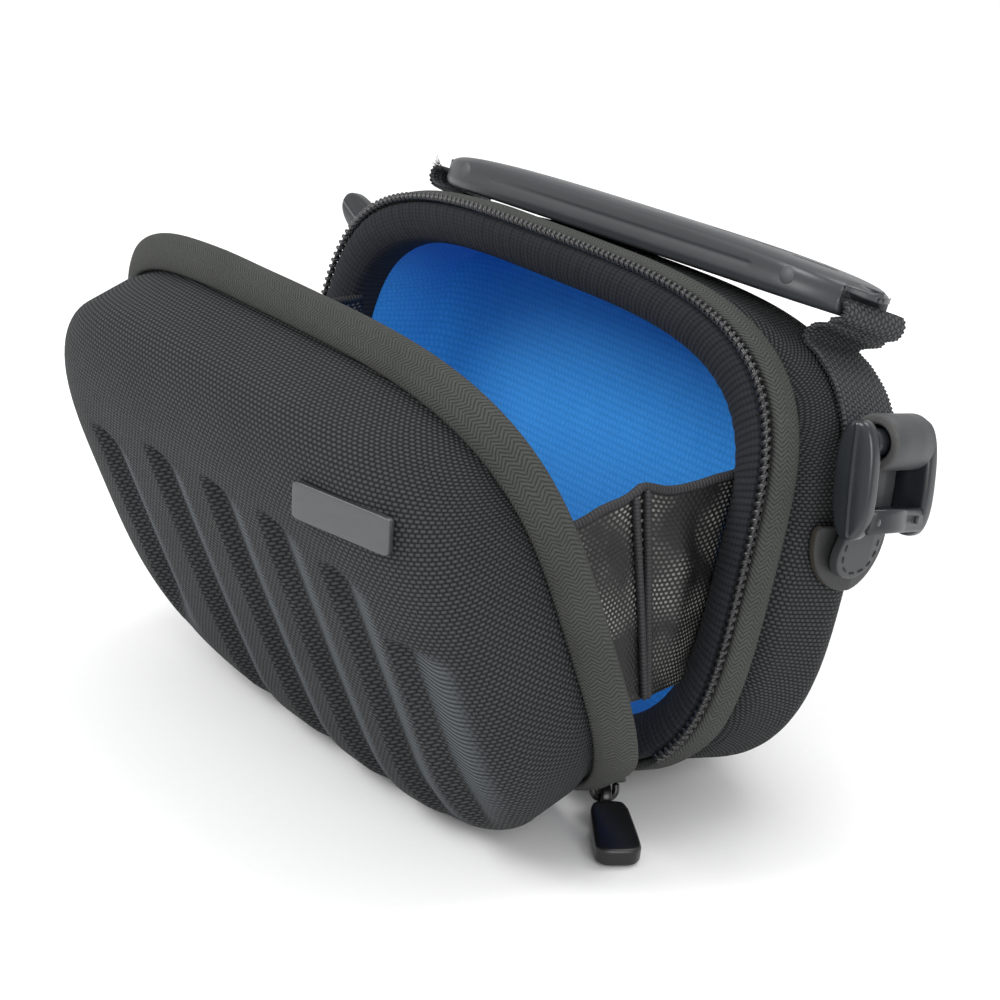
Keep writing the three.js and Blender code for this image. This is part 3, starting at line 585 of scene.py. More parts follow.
def webbing_weave():
    """Charcoal webbing in rows of raised dots."""
    paint = Paint("webbing_weave", roughness=0.7, specular=0.15)
    u, v = paint.cloth()
    dots = paint.stitch(v, u, 1.1, 0.95, sharp=0.7)
    height = paint.weighed(dots, 0.85, paint.noise(3000, 2), 0.2)
    # Dark between the dots is painted shade, and the light colour on the dots a painted highlight.
    colour = paint.mix(height, (0.004, 0.004, 0.0047), (0.085, 0.088, 0.093))
    return paint.finish(colour, height, depth=0.0003, strength=0.9)


def leather(name, low, high, grain_depth):
    paint = Paint(name, roughness=0.48, specular=0.45)
    grain = paint.noise(1500, 5, roughness=0.6)
    pores = paint.node("ShaderNodeTexVoronoi", paint.object_point())
    pores.inputs["Scale"].default_value = 1700
    height = paint.pushed(grain, pores.outputs[0], 0.5)
    cloud = paint.noise(90, 4)
    worn = paint.spread(cloud, 0.38, 0.58)
    return paint.finish(paint.mix(cloud, low, high), height, depth=grain_depth, strength=0.5, roughness=worn)


def raw_edge(name, low, high):
    """The fibrous cut edge of a leather strip."""
    paint = Paint(name, roughness=0.9, specular=0.2)
    u, v = paint.cloth()
    stretch = paint.node("ShaderNodeCombineXYZ", paint.maths("MULTIPLY", u, 4.0), v, 0.0).outputs[0]
    fibre = paint.noise(1.6, 5, vector=stretch, roughness=0.7)
    return paint.finish(paint.mix(fibre, low, high), fibre, depth=0.00015)


def moulded_plastic(name, low, high, roughness):
    paint = Paint(name, roughness=roughness)
    colour = paint.mix(paint.noise(55, 4), low, high)
    grain = paint.noise(700, 4)
    scratches = paint.noise(260, 5, roughness=0.75)
    worn = paint.spread(scratches, roughness * 0.75, roughness * 1.35)
    return paint.finish(colour, grain, depth=0.00002, strength=0.5, roughness=worn)


def satin_badge():
    paint = Paint("satin_badge", roughness=0.42, metallic=0.85)
    streaks = paint.node("ShaderNodeMapping", paint.object_point())
    streaks.inputs["Scale"].default_value = (60, 900, 900)
    brushed = paint.noise(1.0, 4, vector=streaks.outputs[0], roughness=0.7)
    colour = paint.mix(brushed, (0.085, 0.088, 0.091), (0.115, 0.118, 0.121))
    return paint.finish(colour, brushed, depth=0.00001, roughness=paint.spread(brushed, 0.34, 0.5))


def sewing_thread(name, low, high):
    paint = Paint(name, roughness=0.6, specular=0.35)
    twist = paint.noise(3500, 2)
    return paint.finish(paint.mix(twist, low, high), twist, depth=0.00005)


shell_cloth = shell_weave()
tape_cloth = tape_twill()
rim_cloth = rim_knit()
fleece = lining_fleece()
nylon = coil_nylon()
mesh_cloth = gusset_mesh()
edge_tape = binding_tape()
webbing_cloth = webbing_weave()
loop_leather = leather("loop_leather", (0.034, 0.0355, 0.038), (0.055, 0.057, 0.06), 0.00005)
patch_leather = leather("patch_leather", (0.010, 0.0105, 0.011), (0.02, 0.0205, 0.021), 0.00012)
loop_edge = raw_edge("loop_edge", (0.03, 0.03, 0.03), (0.13, 0.13, 0.128))
patch_edge = raw_edge("patch_edge", (0.022, 0.019, 0.016), (0.075, 0.066, 0.055))
ring_plastic = moulded_plastic("ring_plastic", (0.011, 0.013, 0.0155), (0.021, 0.024, 0.028), 0.24)
handle_plastic = moulded_plastic("handle_plastic", (0.026, 0.0285, 0.032), (0.043, 0.047, 0.052), 0.34)
pin_plastic = moulded_plastic("pin_plastic", (0.05, 0.053, 0.058), (0.075, 0.078, 0.083), 0.5)
black_gloss = moulded_plastic("black_gloss", (0.003, 0.003, 0.0034), (0.007, 0.007, 0.008), 0.3)
badge_metal = satin_badge()
black_thread = sewing_thread("black_thread", (0.006, 0.006, 0.007), (0.03, 0.03, 0.032))

# ---- The two shells and their linings ----


def lip_share(turns):
    """1 where the zip tape stands out as a lip, 0 where it lies flat near the hinge."""
    return smoothstep(np.arcsin(np.sin(turns)), LIP_FLAT_TURN, LIP_FULL_TURN)


def rounded_corner(offset, depth, round_in, round_deep, steps):
    """From the side wall to the flat face over a quarter of an ellipse, as [offset, depth]."""
    angle = np.linspace(0, math.pi / 2, steps)
    inwards, forwards = round_in * (1 - np.cos(angle)), round_deep * (1 - np.sin(angle))
    return np.column_stack([offset - inwards, depth - forwards])


HALVES = {
    "body": {
        "rides": "case",
        "place": case_frame,
        "side": BODY,
        "depth": 40.0,
        "wall_offset": -0.9,
        "round_in": 32.0,
        "round_deep": 15.0,
        "crown": 0.0,
        "wall_start": 15.0,
        "crease": [[-1.9, 3.4], [-0.7, 5.4], [-1.6, 7.6], [-3.7, 9.8], [-3.4, 11], [-1.7, 13]],
        "lip": [[0.5, 2.4], [1.3, 3.6], [1.5, 5.6], [0.9, 8], [-2.2, 10.6]]
        + [[-3, 9.8], [-0.5, 7.4], [0, 5.6], [-0.1, 4], [-0.9, 2.9]],
        "flat_lip": [[0.3, 2.4], [0.6, 3.6], [0.6, 5.6], [0.3, 8], [-2.2, 10.6]]
        + [[-3, 9.8], [-0.5, 7.4], [0, 5.6], [-0.1, 4], [-0.9, 2.9]],
    },
    "lid": {
        "rides": "lid",
        "place": lid_frame,
        "side": LID,
        "depth": 30.0,
        "wall_offset": -1.8,
        "round_in": 18.5,
        "round_deep": 11.0,
        "crown": 0.4,
        "wall_start": 10.0,
        "crease": [[-2.1, 3.2], [-0.9, 4.4], [-2.5, 6.4], [-2.2, 8]],
        "lip": [[1.5, 0.6], [2.4, 0.9], [3, 1.9], [2.6, 3.4], [0.6, 5.8]]
        + [[-1.6, 7], [-2.1, 6], [-0.6, 4.6], [1, 3.2], [1.2, 2.3]],
        "flat_lip": [[0.3, 2.4], [0.5, 2.7], [0.6, 3.1], [0.6, 3.8], [-0.4, 5.8]]
        + [[-1.6, 7], [-2.1, 6], [-0.6, 4.6], [-0.4, 3.6], [-0.3, 3]],
    },
}
WALL_THICKNESS = 4.0
INNER_WALL_STEP = 1.0
CORNER_STEPS = 22
LINING_GAP = 0.3
LINING_THICKNESS = 1.2

# Each groove in the lid's face: where it runs, how high its rounded end reaches and how low it goes.
GROOVES = [
    {"x": -45.5, "top": 20, "bottom": -20},
    {"x": -21, "top": 24, "bottom": -30},
    {"x": 1, "top": 25, "bottom": -32},
    {"x": 21, "top": 25, "bottom": -33},
    {"x": 40, "top": 22, "bottom": -33},
    {"x": 54.5, "top": 12, "bottom": -30},
]
GROOVE_DEPTH = 2.5
STEEP_SIDE = 3.0
GENTLE_SIDE = 10.0


def lid_grooves(x, z):
    """How far the lid's face is sunk in at a point, and how far the cloth there lies flat in fine ridges on a
    slope painted as lit, 0 to 1.
    """
    depth, pressed_and_lit = np.zeros_like(x), np.zeros_like(x)
    for groove in GROOVES:
        across = x - groove["x"]
        end = np.clip(1 - (across / (STEEP_SIDE + GENTLE_SIDE)) ** 2, 0, 1)
        top = groove["top"] - 3 * (1 - end)
        along = smoothstep(z, groove["bottom"] - 14, groove["bottom"]) * (1 - smoothstep(z, top - 4, top))
        steep = smoothstep(across, -STEEP_SIDE, 0)
        gentle = 1 - smoothstep(across, 0, GENTLE_SIDE)
        depth += GROOVE_DEPTH * along * np.minimum(steep, gentle)
        # The band is the gentle slope, which gets fine ridges and a painted highlight.
        band = smoothstep(across, 0.6, 2.2) * (1 - smoothstep(across, GENTLE_SIDE - 1, GENTLE_SIDE + 1.5))
        pressed_and_lit += along * band
    return depth, np.clip(pressed_and_lit, 0, 1)


def shell_profile(half, lining):
    """The profile of one surface from the face's middle to the opening: [offset, depth, share of the ring].

    lining is None for the shell's outside, or how far inside the shell's inner wall the surface lies."""
    inset = 0.0 if lining is None else WALL_THICKNESS + lining
    offset = half["wall_offset"] - inset - (0 if lining is None else INNER_WALL_STEP)
    depth, round_in, round_deep = (half[size] - inset for size in ("depth", "round_in", "round_deep"))
    corner = rounded_corner(offset, depth, round_in, round_deep, CORNER_STEPS)[::-1]
    face_offset, face_depth = corner[0]
    face_steps = 46 if lining is None else 24
    face = []
    for share in np.linspace(0.03, 1, face_steps)[:-1]:
        bulge = half["crown"] * (1 - share**2)
        face.append([face_offset, face_depth + bulge, share])
    front = half["crease"][0][1] if lining is None else half["crease"][0][1] + 0.2
    if lining is None:
        wall = catmull([[offset, half["wall_start"]]] + half["crease"][::-1], 5)
    else:
        wall = np.column_stack([np.full(8, offset), np.linspace(corner[-1][1], front, 9)[1:]])
    whole = np.concatenate([corner, wall])
    return np.array(face + [[offset, depth, 1.0] for offset, depth in whole])


def cup_rings(profile, side, turns):
    x, z = outline(turns[None, :], profile[:, 0:1])
    share = profile[:, 2:3]
    depth = np.broadcast_to(side * profile[:, 1:2], x.shape)
    return np.stack([x * share, depth, WIDEST_HEIGHT + (z - WIDEST_HEIGHT) * share], -1)


def cup_cloth(profile, rings, turns):
    """The cloth map of a cup: flat on its face, and carried straight on down its walls."""
    edge = int(np.argmax(profile[:, 2] >= 1))
    steps = np.linalg.norm(np.diff(profile[edge:, :2], axis=0), axis=1)
    down = np.concatenate([[0], np.cumsum(steps)]) - (profile[edge:, 0] - profile[edge, 0])
    cloth = rings[..., [0, 2]].copy()
    cloth[edge:] += outline_normals(turns)[None] * down[:, None, None]
    return np.concatenate([cloth, cloth[:, :1]], 1)


def closed_cup(half, seen, hidden, turns):
    """A cup between a seen and a hidden surface: its rings, its cloth map and which rows are seen."""
    seen_rings, hidden_rings = (cup_rings(profile, half["side"], turns) for profile in (seen, hidden))
    seen_cloth = cup_cloth(seen, seen_rings, turns)
    hidden_cloth = cup_cloth(hidden, hidden_rings, turns)
    rings = np.concatenate([seen_rings, hidden_rings[::-1]])
    return rings, np.concatenate([seen_cloth, hidden_cloth[::-1]]), slice(0, len(seen_rings))


def make_shell(name):
    half = HALVES[name]
    turns, _ = even_turns(420)
    rings, cloth, seen = closed_cup(half, shell_profile(half, None), shell_profile(half, 0.0), turns)
    pressed_and_lit = np.zeros(rings.shape[:2])
    if name == "lid":
        x, y, z = np.moveaxis(rings[seen], -1, 0)
        depth, flat = lid_grooves(x, z)
        on_face = smoothstep(-y, half["depth"] - 7, half["depth"] - 1.5)
        rings[seen, :, 1] += depth * on_face
        # Where the grooves' gentle slopes lie flat, the cloth gets fine ridges and a painted highlight.
        pressed_and_lit[seen] = flat * on_face
    shape = Shape().loft(rings, cloth, value=pressed_and_lit)
    made = shape.build(f"{name}_shell_cloth", half["place"], [shell_cloth], "pressed_and_lit")
    hang(made, half["rides"], "shell_weave", f"{name}_shell")


def make_lining(name):
    half = HALVES[name]
    turns, _ = even_turns(260)
    front, back = shell_profile(half, LINING_GAP + LINING_THICKNESS), shell_profile(half, LINING_GAP)
    rings, cloth, seen = closed_cup(half, front, back, turns)
    x, y, z = np.moveaxis(rings[seen], -1, 0)
    rings[seen, :, 1] += 0.12 * soft_noise(x + y, z - y, 9, seed=3)
    made = Shape().loft(rings, cloth).build(f"{name}_lining_fleece", half["place"], [fleece])
    hang(made, half["rides"], "lining_fleece", f"{name}_lining")


# ---- Rim binding, zip tape and zip coil ----


def swept(section, side, turns):
    """Rings of a section swept round the outline, its [offset, depth] points given once or for each turn."""
    section = np.broadcast_to(section, (len(turns),) + np.shape(section)[-2:])
    x, z = outline(turns[:, None], section[..., 0])
    return np.stack([x, side * section[..., 1], z], -1)


def make_rim_binding(name):
    """The knit roll over the cut edge of the shell and lining, gathered a little as it goes round."""
    half = HALVES[name]
    front = half["crease"][0][1] - LINING_GAP
    innermost = half["wall_offset"] - WALL_THICKNESS - INNER_WALL_STEP - 2 * LINING_GAP - LINING_THICKNESS
    section = catmull(
        [[-1.3, front], [-1.3, 0.9], [-3, 0.3], [-5, 0.5], [innermost + 0.9, 1.3]]
        + [[innermost - 0.6, 2.9], [innermost - 0.8, 6], [innermost - 0.4, 8.6]]
        + [[innermost, 8.6], [innermost, front + 1], [innermost + 3, front]],
        4,
        loop=True,
    )
    turns, length = even_turns(720)
    gather = 0.12 * np.sin(2 * math.pi * length / 3.3) + 0.1 * soft_noise(length, 0 * length, 8, seed=5)
    bend = np.hypot(section[:, 0] + 5, section[:, 1] - 2)
    sections = np.repeat(section[None], len(turns), 0)
    sections[..., 1] -= gather[:, None] * (section[:, 1] < front - 0.5) * np.clip(bend / 4, 0, 1)
    shape = Shape().loft(swept(sections, half["side"], turns), wrap=True)
    made = shape.build(f"{name}_rim_knit", half["place"], [rim_cloth])
    hang(made, half["rides"], "rim_knit", f"{name}_rim_binding")


def make_zip_tape(name):
    half = HALVES[name]
    turns, length = even_turns(560)
    share = lip_share(turns)[:, None, None]
    full, flat = np.array(half["lip"]), np.array(half["flat_lip"])
    control = flat + (full - flat) * share
    control[..., 0] += 0.1 * soft_noise(length, 0 * length, 22, seed=8)[:, None]
    sections = np.array([catmull(points, 4, loop=True) for points in control])
    shape = Shape().loft(swept(sections, half["side"], turns), wrap=True)
    made = shape.build(f"{name}_tape_twill", half["place"], [tape_cloth])
    hang(made, half["rides"], "zip_tape", f"{name}_zip_tape")


def make_zip_coil(name):
    """The coil's teeth as one flattened helix of nylon round a cord."""
    half = HALVES[name]
    steps_per_tooth = 9
    _, whole = even_turns(2, *COIL_TURNS, include_end=True)
    teeth = int(whole[-1] / COIL_PITCH)
    turns, length = even_turns(teeth * steps_per_tooth, *COIL_TURNS, include_end=True)
    phase = 2 * math.pi * length / COIL_PITCH
    wire, cord = 0.41, 0.42
    reach_out, reach_deep = 0.58, 0.5
    offset = reach_out * np.cos(phase)
    depth = COIL_SETBACK + reach_deep * np.sin(phase)
    x, z = outline(turns, offset)
    line = np.column_stack([x, half["side"] * depth, z])
    core_x, core_z = outline(turns[::4], 0.0)
    core = np.column_stack([core_x, np.full(len(core_x), half["side"] * COIL_SETBACK), core_z])
    shape = Shape().loft(thread(line, wire, 7)).loft(thread(core, cord, 8))
    made = shape.build(f"{name}_coil_teeth", half["place"], [nylon])
    hang(made, half["rides"], "zip_coil", f"{name}_zip_coil")


# ---- Hinge strip and gussets ----


def in_lid(point):
    """A point drawn with the lid closed, moved to where the open lid carries it, in the case frame."""
    x, y, z = point
    cosine, sine = math.cos(OPEN_ANGLE), math.sin(OPEN_ANGLE)
    height = z - HINGE_HEIGHT
    return np.array([x, y * cosine - height * sine, HINGE_HEIGHT + y * sine + height * cosine])


def make_hinge_strip():
    """The twill strip that joins the halves along the bottom, bent softly at the fold."""
    flap, thickness = 6.0, 0.8
    lid_way = np.array([-math.cos(OPEN_ANGLE), -math.sin(OPEN_ANGLE)])
    hinge = np.array([0, HINGE_HEIGHT])
    bend = 1.2
    case_side = [hinge + [flap, 0], hinge + [bend, 0], hinge + [bend / 3, 0]]
    line = catmull(case_side + [hinge + lid_way * bend, hinge + lid_way * flap], 6)
    along = np.gradient(line, axis=0)
    along /= np.linalg.norm(along, axis=1)[:, None]
    down = np.column_stack([-along[:, 1], along[:, 0]])
    loop = np.concatenate([line, (line + down * thickness)[::-1]])
    across = np.linspace(-HINGE_HALF_LENGTH, HINGE_HALF_LENGTH, 90)
    rings = np.array([np.column_stack([np.full(len(loop), x), loop]) for x in across])
    made = Shape().loft(rings).build("hinge_strip_twill", case_frame, [tape_cloth])
    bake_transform(made)
    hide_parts("hinge_fabric")


GUSSET_FOLD = (np.array([62, -18, 14.6]), np.array([63.5, -7.4, -22.5]))
GUSSET_EDGE = (np.array([61.7, 5, 19]), np.array([61.7, 5, -19]))


def mirrored_to_lid(point):
    """The lid's side of the gusset is the body's, mirrored about the plane half way between the halves."""
    x, y, z = point
    return in_lid((x, -y, z))


def gusset_grid(side, columns=64, rows=44):
    """Rows of points of one gusset, each from the body, over the fold, to the lid."""
    middle = columns // 2
    grid = np.zeros((rows, columns, 3))
    for half in range(2):
        own = slice(0, middle) if half == 0 else slice(middle, columns)
        s = np.linspace(0, 1, middle)
        if half == 1:
            s = s[::-1]
        fold_top, fold_bottom = GUSSET_FOLD
        edge_top, edge_bottom = GUSSET_EDGE
        t = np.linspace(0, 1, rows)[:, None, None]
        fold = fold_top + (fold_bottom - fold_top) * t
        edge = edge_top + (edge_bottom - edge_top) * t
        panel = edge + (fold - edge) * s[None, :, None]
        billow = np.sin(math.pi * s)[None, :] * np.sin(math.pi * np.linspace(0.05, 0.95, rows))[:, None]
        crumple = soft_noise(panel[..., 1] * 1.6, panel[..., 2], 15, seed=11 + half)
        panel[..., 0] += billow * (1.5 + 1.1 * crumple)
        sag = 0.9 * crumple - 1.2 * np.sin(math.pi * s)[None, :]
        panel[..., 2] += (1 - t[..., 0]) * sag
        if half == 1:
            flat = panel.reshape(-1, 3)
            panel = np.array([mirrored_to_lid(point) for point in flat]).reshape(panel.shape)
        grid[:, own] = panel
    grid[..., 0] *= side
    return grid


def slab(grid, thickness):
    """Rings of a thin sheet with the grid's shape, closed round its edges."""
    across = np.gradient(grid, axis=1)
    down = np.gradient(grid, axis=0)
    normal = np.cross(across, down)
    normal /= np.linalg.norm(normal, axis=2)[..., None]
    return np.concatenate([grid + normal * thickness / 2, (grid - normal * thickness / 2)[:, ::-1]], 1)


def make_gusset(place_name, side):
    grid = gusset_grid(side)
    shape = Shape()
    rings = slab(grid, 0.3)
    shape.loft(rings, lengths_map(rings, False))
    middle = grid.shape[1] // 2
    top = grid[0] + np.array([0, 0, 0.2])
    shape.loft(thread(spaced(top, 60), 0.8, 10), slot=1)
    outwards = np.array([side * 0.7, 0, 0])
    for column in (middle - 2, middle + 1):
        shape.loft(thread(spaced(grid[:, column] + outwards, 50), 0.75, 10), slot=1)
    made = shape.build(f"gusset_{place_name}_mesh", case_frame, [mesh_cloth, edge_tape])
    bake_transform(made)
    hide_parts(f"gusset_{place_name}_body", f"gusset_{place_name}_lid")


# ---- Webbing, leather and strap rings ----


def turn_at_height(height):
    """The turn angle at which the outline's right side stands at a height."""
    turns = np.linspace(-math.pi / 2, math.pi / 2, 4000)
    return np.interp(height, outline(turns, 0)[1], turns)


def strap_drop(depth):
    """How far the side wall has fallen inwards at a depth behind the strap's bend."""
    return -STRAP_FALL * np.maximum(0, depth - STRAP_BEND_DEPTH)


def side_place(side):
    """Shapes are drawn on the right side; this mirrors them to the left."""
    return case_frame @ Matrix.Diagonal((side, 1, 1, 1))


WEBBING_BULGE = {"right": 61.3, "left": 67.5}
WEBBING_SUNK = 0.55
WEBBING_ROWS = 330
WEBBING_COLUMNS = 30
ROWS_PER_RIB = 6.0
RIB_HEIGHT = 0.25
SELVEDGE_WOBBLE = 0.35
SELVEDGE_THINNING = 0.45
FRAYED_THREADS = 26
FRAYED_RADIUS = 0.07


def make_webbing(place_name, side):
    """One strap from the side of the case, round its slack fold, to the handle's end."""
    bulge = WEBBING_BULGE[place_name]
    lift = side * HANDLE_HALF_LENGTH * math.sin(HANDLE_TILT)
    turns = np.radians([17, 24, 32, 40, 46, 50])
    middle_offset = -WEBBING_SUNK + WEBBING_THICKNESS / 2
    handle_drop = 16 * math.tan(HANDLE_ROLL) + 0.5
    lines = []
    for rear in (0, 1):
        depth = WEBBING_DEPTHS[rear]
        x, z = outline(turns, middle_offset + strap_drop(depth))
        fold = np.array(
            [
                [54.6, 44 + 0.2 * lift],
                [58, 44.7 + 0.5 * lift],
                [bulge - 2.6, 45.2 + lift],
                [bulge - 0.6, 45.9 + lift],
                [bulge, 47.1 + lift],
                [bulge - 0.3, 48.2 + lift],
                [bulge - 1.3, 49 + lift],
            ]
        )
        share = np.linspace(1, 0, len(fold))[:, None]
        fold -= rear * (np.array([0, handle_drop]) + np.array([2, 1.4]) * share)
        side_part = np.column_stack([x, z])
        lines.append(spaced(catmull(np.concatenate([side_part, fold]), 8), WEBBING_ROWS))
    columns = np.linspace(0, 1, WEBBING_COLUMNS)
    grid = np.zeros((WEBBING_ROWS, WEBBING_COLUMNS, 3))
    for k, share in enumerate(columns):
        flat = lines[0] * (1 - share) + lines[1] * share
        depth = WEBBING_DEPTHS[0] + (WEBBING_DEPTHS[1] - WEBBING_DEPTHS[0]) * share
        grid[:, k, 0], grid[:, k, 2] = flat[:, 0], flat[:, 1]
        grid[:, k, 1] = depth
    rib = 0.5 + 0.5 * np.cos(2 * math.pi * np.arange(WEBBING_ROWS) / ROWS_PER_RIB)
    edge = np.abs(2 * columns - 1) ** 6
    grid[..., 1] += (np.sign(columns - 0.5) * edge * SELVEDGE_WOBBLE)[None] * rib[:, None]
    thickness = WEBBING_THICKNESS - RIB_HEIGHT + RIB_HEIGHT * rib[:, None, None]
    across, along = np.gradient(grid, axis=1), np.gradient(grid, axis=0)
    normal = np.cross(across, along)
    normal /= np.linalg.norm(normal, axis=2)[..., None]
    thickness = thickness * (1 - SELVEDGE_THINNING * edge)[None, :, None]
    rings = np.concatenate([grid + normal * thickness / 2, (grid - normal * thickness / 2)[:, ::-1]], 1)
    shape = Shape().loft(rings)
    fray = np.random.default_rng(17 + side)
    for _ in range(FRAYED_THREADS):
        start = grid[-2, fray.integers(0, 5)] + fray.normal(0, 0.35, 3)
        way = np.array([fray.normal(0.5, 0.8), -abs(fray.normal(0.8, 0.5)), fray.normal(0.9, 0.6)])
        line = [start, start + way * 0.6, start + way * 1.1 + fray.normal(0, 0.2, 3)]
        shape.loft(thread(line, FRAYED_RADIUS, 4))
    made = shape.build(f"webbing_{place_name}_strap", side_place(side), [webbing_cloth])
    start = in_row(case_frame, (side * 70, 28, 26))
    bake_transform(made)
    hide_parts(f"webbing_{place_name}", f"webbing_riser_{place_name}")


def tab_edge(width, low, high, count=90):
    """The outline of a tab with a half-round lower end and small upper corners, as [across, height]."""
    round_ = width / 2
    angle = np.linspace(math.pi, 2 * math.pi, count // 2)
    lower = np.column_stack([round_ * np.cos(angle), low + round_ + round_ * np.sin(angle)])
    corner = 0.8
    upper = [[round_, high - corner], [round_ - corner, high]]
    upper += [[-round_ + corner, high], [-round_, high - corner]]
    loop = np.concatenate([lower, upper, lower[:1]])
    return spaced(loop, count + 1)[:-1]


def laid_on_side(rings, inner, middle_at):
    """Flat plate rings [across, height, thickness] bent onto the side wall."""
    across, height, lift = rings[..., 0], rings[..., 1], rings[..., 2]
    turn = turn_at_height(height)
    depth = middle_at(height) + across
    x, z = outline(turn, inner + lift + strap_drop(depth))
    return np.stack([x, depth, z], -1)


def tail_middle(height):
    """The depth of the leather tail's middle at a height; its lower end leans a little."""
    return RING_PIVOT[1] - 0.3 * np.maximum(0, 12 - height)


def stitch_line(shape, line, length, gap, radius, slot):
    """Short sewn stitches along a line of points, each with its ends sunk in."""
    total = np.linalg.norm(np.diff(line, axis=0), axis=1).sum()
    count = int(total / (length + gap))
    fine = spaced(line, count * 8 + 1)
    for k in range(count):
        piece = fine[k * 8 : k * 8 + 6]
        shape.loft(thread(piece, radius, 6), slot=slot)


PATCH_MIDDLE = 25.6
PATCH_SEAT, PATCH_THICKNESS = -0.5, 1.5
TAIL_SEAT, TAIL_THICKNESS = 1.35, 2.4
TAIL_LOW, TAIL_HIGH = 3.4, 23.4
STITCH_INSET = 1.0
STITCH_TOP = 19.0
STITCH_LENGTH, STITCH_GAP, STITCH_RADIUS = 1.5, 0.6, 0.22


def make_leather(place_name, side, turn_out):
    """The patch, and the strip folded round the ring's bar with its tail sewn down on the patch."""
    place = side_place(side)
    patch = Shape()
    patch_rings = rounded_plate(tab_edge(20, 0.4, 12, 120), PATCH_THICKNESS, 0.35, fill=12)
    patch.loft(laid_on_side(patch_rings, PATCH_SEAT, lambda height: PATCH_MIDDLE + 0 * height))
    made = patch.build(f"anchor_patch_{place_name}_leather", place, [patch_leather, patch_edge])
    paint_edges(made, patch_rings, PATCH_THICKNESS, 0.2)
    hang(made, "case", "patch_leather", f"anchor_patch_{place_name}")

    loop = Shape()
    tail_rings = rounded_plate(tab_edge(10, TAIL_LOW, TAIL_HIGH, 120), TAIL_THICKNESS, 0.5, fill=14)
    loop.loft(laid_on_side(tail_rings, TAIL_SEAT, tail_middle))
    radius_out, radius_in, half_long = 5.0, 3.2, 6.2
    round_ = 0.35
    lower = [[radius_in, -half_long + round_], [radius_in + round_, -half_long]]
    lower += [[radius_out - round_, -half_long], [radius_out, -half_long + round_]]
    upper = [[radius, -y] for radius, y in reversed(lower)]
    section = catmull_corners(np.array(lower + upper))
    rings = spun(section, 72)
    turn = np.array(turned(turn_out, "Z"))[:3, :3]
    rings = rings @ turn.T + np.array(RING_PIVOT)
    at_end = np.abs(section[:, 1]) > half_long - 0.5
    ends = at_end & np.roll(at_end, -1)
    loop.loft(rings, wrap=True, slot=ends.astype(int))
    sewn = spaced(stitched_u(8.0), 60)
    stitch_line(loop, sewn, STITCH_LENGTH, STITCH_GAP, STITCH_RADIUS, 2)
    made = loop.build(f"leather_loop_{place_name}_strip", place, [loop_leather, loop_edge, black_thread])
    hang(made, "case", "loop_leather", f"leather_loop_{place_name}")


def spun(section, count):
    """Rings of a [radius, y] section turned about Y."""
    angle = np.linspace(0, 2 * math.pi, count, endpoint=False)[:, None]
    radius, y = section[None, :, 0], section[None, :, 1] + 0 * angle
    return np.stack([radius * np.cos(angle), y, radius * np.sin(angle)], -1)


def catmull_corners(section):
    """A loop of points with a few more between each pair, on straight lines."""
    more = [section + (np.roll(section, -1, 0) - section) * t for t in (0, 0.34, 0.67)]
    return np.stack(more, 1).reshape(-1, section.shape[1])


def stitched_u(width):
    """A U-shaped line of stitches just inside the tail's edge, on its outer face."""
    round_ = width / 2
    angle = np.linspace(math.pi, 2 * math.pi, 30)
    low = TAIL_LOW + STITCH_INSET
    lower = np.column_stack([round_ * np.cos(angle), low + round_ + round_ * np.sin(angle)])
    flat = np.concatenate([[[-round_, STITCH_TOP]], lower, [[round_, STITCH_TOP]]])
    rings = np.column_stack([flat, np.full(len(flat), TAIL_THICKNESS + 0.02)])
    return laid_on_side(rings, TAIL_SEAT, tail_middle)


def paint_edges(made, rings, thickness, margin):
    """Gives the faces round a plate's edge the object's second material."""
    heights = rings[..., 2].mean(1)
    columns = rings.shape[1]
    for polygon in made.data.polygons:
        row = min(polygon.vertices) // columns
        if row < len(heights) - 1 and margin < (heights[row] + heights[row + 1]) / 2 < thickness - margin:
            polygon.material_index = 1


RING_PLATE_THICKNESS = 3.2
RING_BAR_LENGTH = 15.4
RING_SLIDE = -1.2
RING_SWING = {"right": math.radians(-10), "left": math.radians(112)}
UPPER_BAR_RADIUS = 2.5
LOWER_BAR_OUT = 1.6
LOWER_BAR_HEIGHT = -13.4


